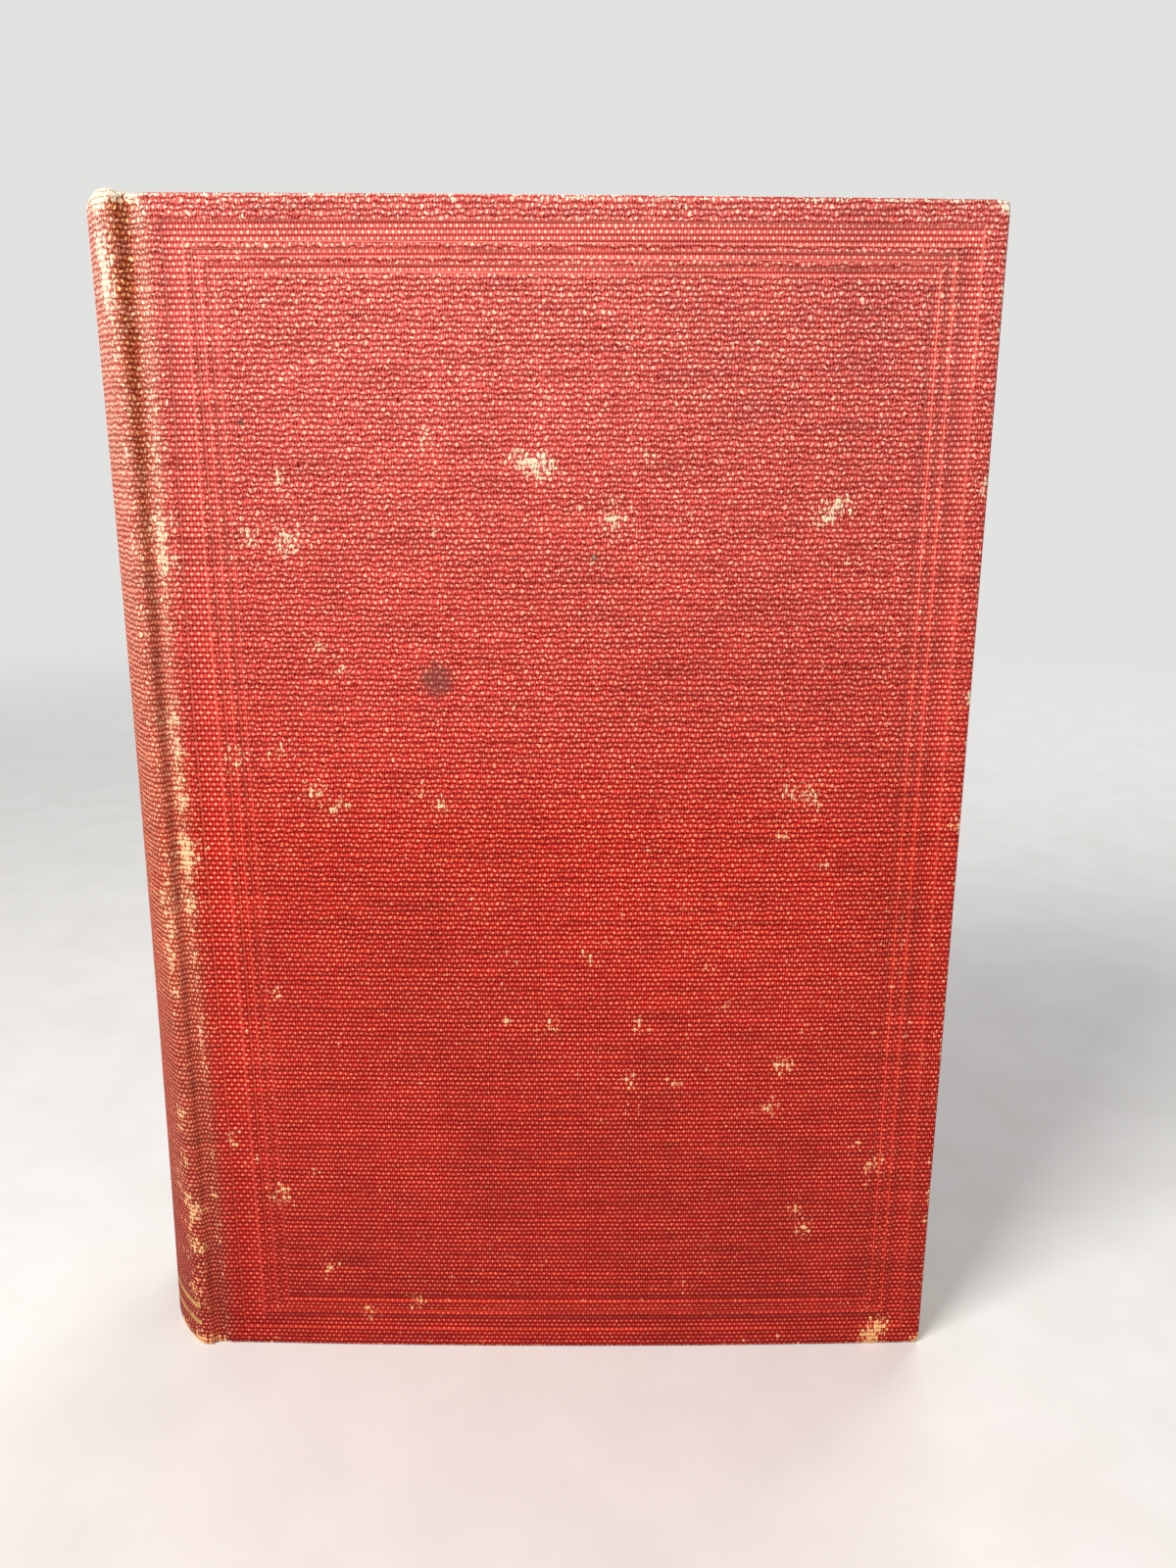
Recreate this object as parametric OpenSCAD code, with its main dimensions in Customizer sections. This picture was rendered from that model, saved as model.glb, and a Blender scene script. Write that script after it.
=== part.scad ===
// Case-bound hardback book: a rounded and backed text block in a cloth-covered case.
// It stands on its tail edges. The spine is at -X, the front cover at -Y, the head at +Z.
// Sections are drawn in a plan frame: u runs from the joint groove towards the fore-edge,
// and v runs outwards from the middle of the text block towards a cover.

/* [Covers] */
// Height of each cover at its spine side, cloth included
cover_h = 235.6; // [180:0.2:300]
// Width of each cover from the bottom of the joint groove to the fore-edge
cover_w = 153.2; // [110:0.2:200]
// Drop of the head edge from the spine side to the fore-edge corner
fore_drop = 1.2; // [0:0.1:3]
// Thickness of each board
board_t = 3; // [2.4:0.1:4]
// Radius of the rubbed corners at the fore-edge, seen from the front
corner_r = 1.8; // [1:0.1:4]
// Radius of the long edges of each cover
edge_r = 0.9; // [0.7:0.05:1.2]

/* [Cloth] */
// Thickness of the book cloth
cloth_t = 0.5; // [0.4:0.05:0.6]
// Width of the cloth turned in round the boards and the spine
turn_in_w = 15; // [10:0.5:20]
// Gap between the two turn-ins at each mitred corner
mitre_gap = 0.4; // [0.2:0.1:1]

/* [Blind-ruled frame] */
// Depth of the stamped band and rules
stamp_depth = 0.2; // [0.05:0.01:0.25]
// Distance from the head, tail and fore-edge to the band
frame_margin = 4.4; // [3:0.1:8]
// Distance from the bottom of the joint groove to the band
frame_spine = 5.4; // [4:0.1:10]
// Width of the stamped band
band_w = 3.4; // [2:0.1:6]
// Width of each stamped rule
rule_w = 1.2; // [0.6:0.1:2]
// Width of the raised strips between the band and the rules
ridge_w = 1.3; // [0.8:0.1:2]
// Number of stamped rules inside the band
rules = 2; // [1:1:3]

/* [Text block] */
// Thickness of the text block at the fore-edge
block_t = 34; // [26:0.5:44]
// Distance from the head of the covers to the head of the leaves
head_square = 3.6; // [2:0.1:5]
// Distance from the tail of the covers to the tail of the leaves
tail_square = 3.4; // [2:0.1:5]
// Distance from the fore-edge of the covers to that of the leaves
fore_square = 4.2; // [2.5:0.1:6]
// Thickness of a leaf of the endpapers
paper_t = 0.2; // [0.15:0.05:0.3]
// Gap between a flyleaf and the closed cover
leaf_gap = 0.1; // [0.05:0.05:0.4]

/* [Spine and joints] */
// Distance from the groove to the back of the spine at the head
spine_reach = 13.2; // [11.5:0.1:15]
// How much further the spine reaches at the tail
foot_flare = 3.4; // [0:0.1:5]
// Distance from the groove to the top of the ridge beside it
crest_reach = 3.7; // [3.4:0.1:4.2]
// Height of the ridge above the face of the cover
crest_rise = 0.7; // [0.3:0.1:1]
// Radius of the ridge
crest_r = 2.3; // [2.2:0.05:2.6]
// Depth of the joint groove below the face of the cover
groove_depth = 1.2; // [1:0.1:1.5]
// Distance from the groove to where the face of the cover is flat
face_start = 3; // [2.7:0.1:3.6]
// How far the cloth over the ridge stands above the head of the cover
cap_rise = 0.7; // [0:0.1:2]
// How far the cloth at the middle of the spine sags below that
cap_sag = 3.6; // [0:0.1:5]

/* [Spine linings] */
// Thickness of the card inlay in the spine
inlay_t = 0.8; // [0.5:0.05:0.9]
// Gap between the inlay and the cloth round it
glue_gap = 0.05; // [0.02:0.01:0.1]
// Gap between the hollow back and the lined text block
hollow_gap = 0.3; // [0.3:0.05:1]
// Thickness of the gauze glued over the back of the leaves
mull_t = 0.3; // [0.2:0.05:0.4]
// Distance from the head and tail of the leaves to the gauze
mull_short = 14.6; // [12:0.2:25]
// Width of the gauze flaps glued to the boards
flap_w = 30; // [15:1:50]
// Thickness of the kraft paper lining over the gauze
lining_t = 0.3; // [0.2:0.05:0.4]
// Distance from the groove to the gauze flaps and pastedowns
joint_gap = 0.3; // [0.2:0.05:0.6]

/* [Headbands] */
// Radius of the bead of each headband
bead_r = 0.7; // [0.4:0.05:1]
// Width of the tape that holds each headband to the back of the leaves
tape_w = 11; // [5:0.5:11.5]

/* [Hidden] */

CLOTH_RED = [0.62, 0.13, 0.12];
BOARD_GREY = [0.62, 0.55, 0.42];
PAPER_CREAM = [0.9, 0.85, 0.73];
END_CREAM = [0.86, 0.8, 0.66];
GAUZE = [0.82, 0.78, 0.66];
KRAFT = [0.66, 0.5, 0.32];
BAND_RED = [0.72, 0.3, 0.24];

// Distances v from the middle of the text block outwards, through the flyleaf and one cover
half_block = block_t / 2;
leaf_v = half_block + paper_t;
paper_v = leaf_v + leaf_gap;
turn_v = paper_v + paper_t;
board_v = turn_v + cloth_t;
face_v = board_v + board_t;
outer_v = face_v + cloth_t;

// The joint: a groove arc, the roll of the cloth onto the board, and the ridge beside it
groove_v = outer_v - groove_depth;
crest_v = outer_v + crest_rise;
crest_c = [-crest_reach, crest_v - crest_r];
groove_r = (pow(crest_reach, 2) + pow(crest_v - groove_v, 2)) / (2 * (crest_v - groove_v)) - crest_r;
groove_c = [0, groove_v + groove_r];
roll_r = (pow(face_start, 2) + pow(groove_depth, 2)) / (2 * groove_depth) - groove_r;
roll_c = [face_start, outer_v - roll_r];
board_u = face_start - roll_r + cloth_t;
roll_angle = atan2(roll_c[1] - groove_c[1], roll_c[0] - groove_c[0]);
crest_angle = atan2(crest_c[1] - groove_c[1], crest_c[0] - groove_c[0]);

// The back of the spine: an arc that meets the ridge arc smoothly
crest_to_back = spine_reach - crest_reach;
spine_r = (pow(crest_to_back, 2) + pow(crest_c[1], 2) - pow(crest_r, 2))
  / (2 * (crest_to_back - crest_r));
spine_u = spine_r - spine_reach;
back_angle = atan2(crest_c[1], crest_c[0] - spine_u);

// Layers inwards from the outside of the spine cloth
slot_t = inlay_t + 2 * glue_gap;
hem_depth = 2 * cloth_t + slot_t;
block_r = spine_r - hem_depth - hollow_gap - lining_t - mull_t;

// The backed shoulder of the leaves, just inside the ridge
shoulder_drop = 0.6;
shoulder_v = crest_c[1] - shoulder_drop;
shoulder_h = shoulder_v - half_block;
shoulder_u = spine_u - sqrt(pow(block_r, 2) - pow(shoulder_v, 2));
shoulder_foot = shoulder_u + shoulder_h;

// Text block extents
block_bottom = tail_square;
block_top = cover_h - head_square;
flap_low = block_bottom + mull_short;
flap_high = block_top - mull_short;
fore_u = cover_w - fore_square;
leaf_w = fore_u - spine_u + sqrt(pow(block_r, 2) - pow(half_block, 2));

// The origin is under the middle of the book, spine flare included
origin_u = (cover_w - spine_reach - foot_flare) / 2;
head_slope = atan(fore_drop / cover_w);
inner_edge_r = edge_r - cloth_t;
past = 1;
half_way = cover_h / 2 + past;

// Facets of the round pieces, and of the arcs that are drawn point by point
ROUND = 180;
BEAD_ROUND = 24;
CORNER_STEPS = 6;
EDGE_STEPS = 4;
ROLL_STEPS = 6;
GROOVE_STEPS = 5;
CREST_STEPS = 8;
BACK_STEPS = 13;

// Points along an arc from angle a0 to a1, without its last point
function arc(c, r, a0, a1, n) = [
  for (i = [0:n - 1]) let (a = a0 + (a1 - a0) * i / n) c + r * [cos(a), sin(a)]
];

// The same arc with its last point
function whole_arc(c, r, a0, a1, n) = concat(arc(c, r, a0, a1, n), [c + r * [cos(a1), sin(a1)]]);

// Height of the cover's head edge at distance u from the groove
function head_z(u) = cover_h - fore_drop * u / cover_w;

// Front outline of a cover in u and z, drawn in by e, with rounded fore-edge corners
function outline(e, r) = concat(
  [[-past, e]],
  whole_arc([cover_w - e - r, e + r], r, -90, 0, CORNER_STEPS),
  whole_arc([cover_w - e - r, head_z(cover_w) - e - r], r, 0, 90, CORNER_STEPS),
  [[-past, head_z(-past) - e]]
);

// Roll of the cloth onto the flat face in u and v, sunk by e
function roll_curve(e) = concat(
  arc(roll_c, roll_r - e, roll_angle + 180, 90, ROLL_STEPS),
  [[face_start, outer_v - e]]
);

// Outer surface of the cloth from the bottom of the groove to the flat face, sunk by e
function joint_curve(e) = concat(
  arc(groove_c, groove_r + e, -90, roll_angle, GROOVE_STEPS),
  roll_curve(e)
);

// Rounded fore-edge of a cover in u and v, from the outer face to the inner one
function fore_curve(e, r) = concat(
  whole_arc([cover_w - e - r, outer_v - e - r], r, 90, 0, EDGE_STEPS),
  whole_arc([cover_w - e - r, turn_v + e + r], r, 0, -90, EDGE_STEPS)
);

// Puts a piece drawn in u, v and z on the front or back side of the book
module side(front) {
  translate([-origin_u, 0, 0]) mirror([0, front ? 1 : 0, 0]) children();
}

// Extrudes an outline in u and z from v0 to v1
module upright(points, v0, v1) {
  translate([0, v1, 0]) rotate([90, 0, 0]) linear_extrude(v1 - v0) polygon(points);
}

// Extrudes a profile in v and z along the cover's width
module crosswise(points) {
  translate([-past, 0, 0]) rotate([90, 0, 90]) linear_extrude(cover_w + 2 * past) polygon(points);
}

// A cover-wide slab with rounded long edges at the tail and the head, drawn in by e
module long_edges(e, r) {
  inner = turn_v + e;
  outer = outer_v - e;
  crosswise(concat(
    whole_arc([inner + r, e + r], r, 180, 270, EDGE_STEPS),
    whole_arc([outer - r, e + r], r, 270, 360, EDGE_STEPS),
    [[outer, half_way], [inner, half_way]]
  ));
  translate([0, 0, cover_h - e]) rotate([0, head_slope, 0]) crosswise(concat(
    whole_arc([outer - r, -r], r, 0, 90, EDGE_STEPS),
    whole_arc([inner + r, -r], r, 90, 180, EDGE_STEPS),
    [[inner, -half_way], [outer, -half_way]]
  ));
}

// A cover shape: a plan section held inside the front outline and the long edges
module cover_solid(section, e, corner, edge) {
  intersection() {
    linear_extrude(cover_h + past) polygon(section);
    upright(outline(e, corner), turn_v - past, outer_v + past);
    long_edges(e, edge);
  }
}

module board() {
  cover_solid(
    concat(
      arc(roll_c, roll_r - cloth_t, 180, roll_angle + 180, ROLL_STEPS),
      roll_curve(cloth_t),
      fore_curve(cloth_t, inner_edge_r),
      [[board_u, board_v]]
    ),
    cloth_t, corner_r - cloth_t, inner_edge_r
  );
}

// Corners of a frame line at distance d from the head, tail and fore-edge
function frame_line(d) = let (left = frame_spine - frame_margin + d, right = cover_w - d) [
  [left, d],
  [right, d],
  [right, head_z(right) - d],
  [left, head_z(left) - d]
];

// A stamped ring on the outer face, at distance d from the edges
module stamped_ring(d, w) {
  difference() {
    upright(frame_line(d), outer_v - stamp_depth, outer_v + past);
    upright(frame_line(d + w), outer_v - stamp_depth - past, outer_v + 2 * past);
  }
}

// Room inside the turn-ins, open at the spine side
function window(d) = let (right = cover_w - d) [
  [-past, d],
  [right, d],
  [right, head_z(right) - d],
  [-past, head_z(-past) - d]
];

// A slit between two turn-ins, from the window's corner out past the cover's corner
module mitre(z, turn) {
  corner_u = cover_w - turn_in_w;
  half_slit = mitre_gap / 2;
  slit_end = turn_in_w * 2;
  slit = [[-past, -half_slit], [slit_end, -half_slit], [slit_end, half_slit], [-past, half_slit]];
  translate([corner_u, 0, z]) rotate([0, turn, 0]) upright(slit, turn_v - past, board_v);
}

module cover_cloth() {
  skin = concat(
    joint_curve(0),
    fore_curve(0, edge_r),
    [[board_u, turn_v], [board_u, board_v], [0, board_v]]
  );
  under = concat(
    [[-past, groove_v - cloth_t]],
    joint_curve(cloth_t),
    fore_curve(cloth_t, inner_edge_r),
    [[-past, board_v]]
  );
  difference() {
    cover_solid(skin, 0, corner_r, edge_r);
    cover_solid(under, cloth_t, corner_r - cloth_t, inner_edge_r);
    // The cloth lies bare across the joint, with no turned edge at its head and tail
    translate([0, 0, -past]) linear_extrude(cover_h + 2 * past) intersection() {
      polygon(under);
      translate([-past, 0]) square([board_u + past, outer_v]);
    }
    upright(window(turn_in_w), turn_v - past, board_v);
    mitre(turn_in_w, 45);
    mitre(head_z(cover_w - turn_in_w) - turn_in_w, -45);
    stamped_ring(frame_margin, band_w);
    for (i = [1:rules]) stamped_ring(frame_margin + band_w + i * ridge_w + (i - 1) * rule_w, rule_w);
  }
}

// The room of a gauze flap on the board, grown on its three free sides
module flap_room(grow, v0, v1) {
  edge = grow > 0 ? past : 0;
  translate([joint_gap - edge, v0, flap_low - grow])
    cube([edge + flap_w + grow, v1 - v0, flap_high - flap_low + 2 * grow]);
}

// A gauze flap lies on the board, between the head and tail turn-ins
module mull_flap() {
  flap_room(0, board_v - mull_t, board_v);
}

// The pastedown lies over the turn-ins and the gauze, and sinks to the board between them
module pastedown() {
  sheet = [
    [joint_gap, tail_square],
    [fore_u, tail_square],
    [fore_u, head_z(fore_u) - head_square],
    [joint_gap, head_z(joint_gap) - head_square]
  ];
  difference() {
    upright(sheet, paper_v, board_v);
    // Room for the turned-in cloth
    difference() {
      upright(outline(-past, corner_r), turn_v, board_v + past);
      upright(window(turn_in_w), turn_v - past, board_v + 2 * past);
    }
    flap_room(0, board_v - mull_t, board_v + past);
    // The sunk face towards the leaves
    difference() {
      upright(window(turn_in_w + paper_t), paper_v - past, board_v - paper_t);
      flap_room(paper_t, paper_v - 2 * past, board_v);
    }
    flap_room(paper_t, paper_v - past, board_v - mull_t - paper_t);
  }
}

module flyleaf() {
  translate([shoulder_foot, half_block, block_bottom])
    cube([fore_u - shoulder_foot, paper_t, block_top - block_bottom]);
}

// The leaves as one solid: rounded back, backed shoulders and hollow fore-edge
module pages() {
  color(PAPER_CREAM) translate([-origin_u, 0, block_bottom])
    linear_extrude(block_top - block_bottom) difference() {
      union() {
        intersection() {
          translate([spine_u, 0]) circle(block_r, $fn = ROUND);
          translate([spine_u - block_r - past, -shoulder_v]) square([block_r + past, 2 * shoulder_v]);
        }
        translate([spine_u - past, -half_block]) square([fore_u - spine_u + past, block_t]);
      }
      for (s = [-1, 1]) {
        translate([shoulder_foot, s * shoulder_v]) circle(shoulder_h, $fn = ROUND);
        translate([shoulder_foot, s > 0 ? half_block : -half_block - 2 * shoulder_h])
          square([spine_u - shoulder_foot + past, 2 * shoulder_h]);
      }
      translate([spine_u + leaf_w, 0]) circle(block_r, $fn = ROUND);
    }
}

module front_flyleaf() {
  color(END_CREAM) side(true) flyleaf();
}

module back_flyleaf() {
  color(END_CREAM) side(false) flyleaf();
}

// A curved layer on the back of the leaves, as far round as the given half height
module back_layer(inner, t, half, z0, z1) {
  translate([-origin_u, 0, z0]) linear_extrude(z1 - z0) intersection() {
    translate([spine_u, 0]) difference() {
      circle(inner + t, $fn = ROUND);
      circle(inner, $fn = ROUND);
    }
    translate([spine_u - block_r * 2, -half]) square([block_r * 2, 2 * half]);
  }
}

module spine_mull() {
  color(GAUZE) back_layer(block_r, mull_t, shoulder_v, flap_low, flap_high);
}

module spine_lining() {
  color(KRAFT) back_layer(block_r + mull_t, lining_t, shoulder_v, block_bottom, block_top);
}

// A bead over the edge of the leaves, sewn to a tape on their back
module headband(edge, outward) {
  bead_z = edge + outward * bead_r;
  tape_z = edge - outward * tape_w;
  reach = asin(half_block / block_r);
  back_layer(block_r, mull_t, half_block, min(tape_z, bead_z), max(tape_z, bead_z));
  translate([spine_u - origin_u, 0, bead_z])
    rotate([0, 0, 180 - reach])
    rotate_extrude(angle = 2 * reach, $fn = ROUND)
    translate([block_r + mull_t - bead_r, 0])
    circle(bead_r, $fn = BEAD_ROUND);
}

module head_band() {
  color(BAND_RED) headband(block_top, 1);
}

module tail_band() {
  color(BAND_RED) headband(block_bottom, -1);
}

// Points round an arc, each as [point, outward direction]; way is -1 inside a hollow curve
function facing(c, r, a0, a1, n, last, way) = [
  for (i = [0:last]) let (a = a0 + (a1 - a0) * i / n) [c + r * [cos(a), sin(a)], way * [cos(a), sin(a)]]
];

// Plan path of the spine from the back groove round to the front one
half_path = concat(
  facing(groove_c, groove_r, -90, crest_angle, GROOVE_STEPS, GROOVE_STEPS - 1, -1),
  facing(crest_c, crest_r, crest_angle + 180, back_angle, CREST_STEPS, CREST_STEPS - 1, 1),
  facing([spine_u, 0], spine_r, back_angle, 180, BACK_STEPS, BACK_STEPS, 1)
);
half_last = len(half_path) - 1;
function across(p) = [[p[0][0], -p[0][1]], [p[1][0], -p[1][1]]];
spine_path = concat(half_path, [for (i = [1:half_last]) across(half_path[half_last - i])]);

// The spine reaches further towards its tail, by a share that grows with the square of the drop
function flare(z) = 1 + foot_flare / spine_reach * pow((cover_h - z) / cover_h, 2);

// Head line of the spine cloth: up over the ridge, then sagging towards the middle
function cap_z(p) = let (u = p[0][0], v = p[0][1])
  u > -crest_reach ? cover_h - cap_rise * u / crest_reach
  : cover_h + cap_rise - cap_sag * pow(1 - pow(v / crest_v, 2), 2);

// A point of the spine's layers: sunk by depth from the outside, at height z
function layer_point(p, depth, z) = let (
  k = flare(z),
  across_dir = [p[1][0] / k, p[1][1]],
  at = [p[0][0] * k, p[0][1]] - depth * across_dir / norm(across_dir)
) [at[0] - origin_u, at[1], z];

STEPS = [0, 0.07, 0.15, 0.24, 0.34, 0.46, 0.6, 0.78, 1];
last_step = len(STEPS) - 1;
function wall_up(p, depth, low, high) = [for (t = STEPS) layer_point(p, depth, low + t * (high - low))];
function wall_down(p, depth, low, high) = [
  for (i = [0:last_step]) layer_point(p, depth, low + STEPS[last_step - i] * (high - low))
];

// One upright section of the spine cloth, with its hems folded in at the tail and the head
function cloth_ring(p) = let (top = cap_z(p), inner = cloth_t + slot_t) concat(
  wall_up(p, 0, 0, top),
  [
    layer_point(p, hem_depth, top),
    layer_point(p, hem_depth, top - turn_in_w),
    layer_point(p, inner, top - turn_in_w),
    layer_point(p, inner, top - cloth_t)
  ],
  wall_down(p, cloth_t, cloth_t, top - cloth_t),
  [
    layer_point(p, inner, cloth_t),
    layer_point(p, inner, turn_in_w),
    layer_point(p, hem_depth, turn_in_w),
    layer_point(p, hem_depth, 0)
  ]
);

function inlay_ring(p) = let (edge = cloth_t + glue_gap, top = cap_z(p) - edge) concat(
  wall_up(p, edge, edge, top),
  wall_down(p, edge + inlay_t, edge, top)
);

// Four-sided pieces of a ring whose wall goes up from point 0 and comes down again to point down_end
function wall_quads(down_end) = [
  for (k = [0:last_step - 1]) [k, k + 1, down_end - k - 1, down_end - k]
];

// A closed solid through rings of equal length; the quads fill the first and the last ring
module loft(rings, quads) {
  n = len(rings[0]);
  last = len(rings) - 1;
  end = last * n;
  first_face = [for (q = quads) each [[q[0], q[2], q[1]], [q[0], q[3], q[2]]]];
  last_face = [for (face = first_face) [end + face[0], end + face[2], end + face[1]]];
  walls = [
    for (j = [0:last - 1], k = [0:n - 1])
      let (a = j * n + k, b = j * n + (k + 1) % n) each [[a, b, a + n], [b, b + n, a + n]]
  ];
  polyhedron(points = [for (ring = rings) each ring], faces = concat(first_face, last_face, walls));
}

module spine_cloth() {
  up = last_step;
  hem = up + 1;
  down = up + 5;
  down_end = down + last_step;
  color(CLOTH_RED) loft(
    [for (p = spine_path) cloth_ring(p)],
    concat(wall_quads(down_end), [
      [up, hem, hem + 3, down],
      [hem, hem + 1, hem + 2, hem + 3],
      [0, down_end, down_end + 1, down_end + 4],
      [down_end + 4, down_end + 1, down_end + 2, down_end + 3]
    ])
  );
}

// The inlay runs from the top of one ridge over the back to the other
module spine_inlay() {
  ridge_step = GROOVE_STEPS + CREST_STEPS / 2;
  color(BOARD_GREY) loft(
    [for (i = [ridge_step:len(spine_path) - 1 - ridge_step]) inlay_ring(spine_path[i])],
    wall_quads(2 * last_step + 1)
  );
}

module front_board() {
  color(BOARD_GREY) side(true) board();
}

module back_board() {
  color(BOARD_GREY) side(false) board();
}

module front_cover_cloth() {
  color(CLOTH_RED) side(true) cover_cloth();
}

module back_cover_cloth() {
  color(CLOTH_RED) side(false) cover_cloth();
}

module front_mull_flap() {
  color(GAUZE) side(true) mull_flap();
}

module back_mull_flap() {
  color(GAUZE) side(false) mull_flap();
}

module front_pastedown() {
  color(END_CREAM) side(true) pastedown();
}

module back_pastedown() {
  color(END_CREAM) side(false) pastedown();
}

pages();
front_flyleaf();
back_flyleaf();
spine_mull();
spine_lining();
head_band();
tail_band();
spine_inlay();
spine_cloth();
front_board();
front_cover_cloth();
front_mull_flap();
front_pastedown();
back_board();
back_cover_cloth();
back_mull_flap();
back_pastedown();
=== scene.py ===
"""Looks of a worn cloth-bound book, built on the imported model.

Sizes are in millimetres in the book's own plan frame: u runs from the joint groove to the
fore-edge, v runs outwards through a cover, z runs up. Meshes are placed in metres.
"""

import logging
import math
from dataclasses import dataclass
from enum import Enum

import bmesh
import bpy
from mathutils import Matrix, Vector, noise
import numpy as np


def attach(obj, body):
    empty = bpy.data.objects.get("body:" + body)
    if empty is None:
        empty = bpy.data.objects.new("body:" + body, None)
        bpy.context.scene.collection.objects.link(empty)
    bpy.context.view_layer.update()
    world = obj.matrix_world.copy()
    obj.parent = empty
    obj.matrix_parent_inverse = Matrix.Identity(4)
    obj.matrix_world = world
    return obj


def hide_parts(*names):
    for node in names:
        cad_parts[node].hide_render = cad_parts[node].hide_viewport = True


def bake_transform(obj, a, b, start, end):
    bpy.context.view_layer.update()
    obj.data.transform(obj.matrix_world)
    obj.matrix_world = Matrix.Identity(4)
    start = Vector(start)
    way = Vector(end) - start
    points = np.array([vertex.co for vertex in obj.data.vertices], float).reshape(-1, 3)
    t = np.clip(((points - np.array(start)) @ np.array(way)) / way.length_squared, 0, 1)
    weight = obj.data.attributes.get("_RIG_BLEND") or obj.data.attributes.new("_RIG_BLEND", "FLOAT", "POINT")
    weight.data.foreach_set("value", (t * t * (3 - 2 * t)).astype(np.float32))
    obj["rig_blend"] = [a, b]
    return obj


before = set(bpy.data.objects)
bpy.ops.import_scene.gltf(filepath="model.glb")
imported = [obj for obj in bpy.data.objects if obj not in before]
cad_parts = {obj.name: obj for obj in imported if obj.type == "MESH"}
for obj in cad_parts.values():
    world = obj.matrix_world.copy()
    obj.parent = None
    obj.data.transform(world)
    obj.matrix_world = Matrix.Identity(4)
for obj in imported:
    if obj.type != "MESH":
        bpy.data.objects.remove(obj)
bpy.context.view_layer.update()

logging.basicConfig(level=logging.INFO, format="%(message)s")
LOG = logging.getLogger("book")

MM = 0.001
SHARP = math.radians(48)

Pair = tuple[float, float]
Quad = tuple[float, float, float, float]
Piece, Material = bpy.types.Object, bpy.types.Material
Node, NodeTree, Socket = bpy.types.Node, bpy.types.NodeTree, bpy.types.NodeSocket
Sockets = bpy.types.bpy_prop_collection


class Side(Enum):
    """Which cover a piece belongs to; the value is the sign of Y."""

    FRONT = -1
    BACK = 1

    @property
    def word(self) -> str:
        """Name used for the pieces and the body."""
        return self.name.lower()

    @property
    def body(self) -> str:
        """The CAD body of this cover."""
        return f"{self.word}_cover"


@dataclass(frozen=True)
class BookSizes:
    """The named sizes of part.scad, in millimetres."""

    cover_h: float = 235.6
    cover_w: float = 153.2
    fore_drop: float = 1.2
    board_t: float = 3.0
    corner_r: float = 1.3
    edge_r: float = 0.9
    cloth_t: float = 0.5
    turn_in_w: float = 15.0
    frame_margin: float = 4.4
    frame_spine: float = 5.4
    band_w: float = 3.4
    rule_w: float = 1.2
    ridge_w: float = 1.3
    rules: int = 2
    block_t: float = 34.0
    head_square: float = 3.6
    tail_square: float = 3.4
    fore_square: float = 4.2
    paper_t: float = 0.2
    leaf_gap: float = 0.1
    spine_reach: float = 13.2
    foot_flare: float = 3.4
    crest_reach: float = 3.7
    crest_rise: float = 0.7
    crest_r: float = 2.3
    groove_depth: float = 1.2
    face_start: float = 3.0
    cap_rise: float = 0.7
    cap_sag: float = 3.6
    inlay_t: float = 0.8
    mull_t: float = 0.3
    mull_short: float = 14.6
    flap_w: float = 30.0

    @property
    def paper_v(self) -> float:
        """Inner face of the pastedown."""
        return self.block_t / 2 + self.paper_t + self.leaf_gap

    @property
    def turn_v(self) -> float:
        """Inner face of the turned-in cloth."""
        return self.paper_v + self.paper_t

    @property
    def board_v(self) -> float:
        """Inner face of the board."""
        return self.turn_v + self.cloth_t

    @property
    def outer_v(self) -> float:
        """Outer face of the cover."""
        return self.board_v + self.board_t + self.cloth_t

    @property
    def origin_u(self) -> float:
        """Where the row's origin lies in the plan frame."""
        return (self.cover_w - self.spine_reach - self.foot_flare) / 2

    @property
    def fore_u(self) -> float:
        """Fore-edge of the leaves."""
        return self.cover_w - self.fore_square

    def head_z(self, u: float) -> float:
        """Height of the cover's head edge at u."""
        return self.cover_h - self.fore_drop * u / self.cover_w


@dataclass(frozen=True)
class Bend:
    """One arc of the plan path of the case cloth, in degrees and millimetres."""

    centre: Pair
    radius: float
    start: float
    end: float
    hollow: bool = False

    @property
    def length(self) -> float:
        """Length along the arc."""
        return self.radius * math.radians(abs(self.end - self.start))

    def at(self, share: float) -> Quad:
        """A point and its outward direction.

        Args:
            share: how far along the arc, from 0 to 1.

        Returns:
            u, v and the outward direction's two parts.
        """
        angle = math.radians(self.start + (self.end - self.start) * share)
        c, s = math.cos(angle), math.sin(angle)
        way = -1 if self.hollow else 1
        return self.centre[0] + self.radius * c, self.centre[1] + self.radius * s, way * c, way * s


def ease(value: float, low: float, high: float) -> float:
    """Smooth step from 0 at low to 1 at high."""
    t = min(1.0, max(0.0, (value - low) / (high - low)))
    return t * t * (3 - 2 * t)


def bell(value: float, middle: float, width: float) -> float:
    """Smooth hump of height 1 round the middle."""
    return math.exp(-(((value - middle) / width) ** 2))


def soft_noise(x: float, y: float, z: float = 0.0) -> float:
    """Smooth noise about 0 at a point."""
    return noise.noise(Vector((x, y, z)))


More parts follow.
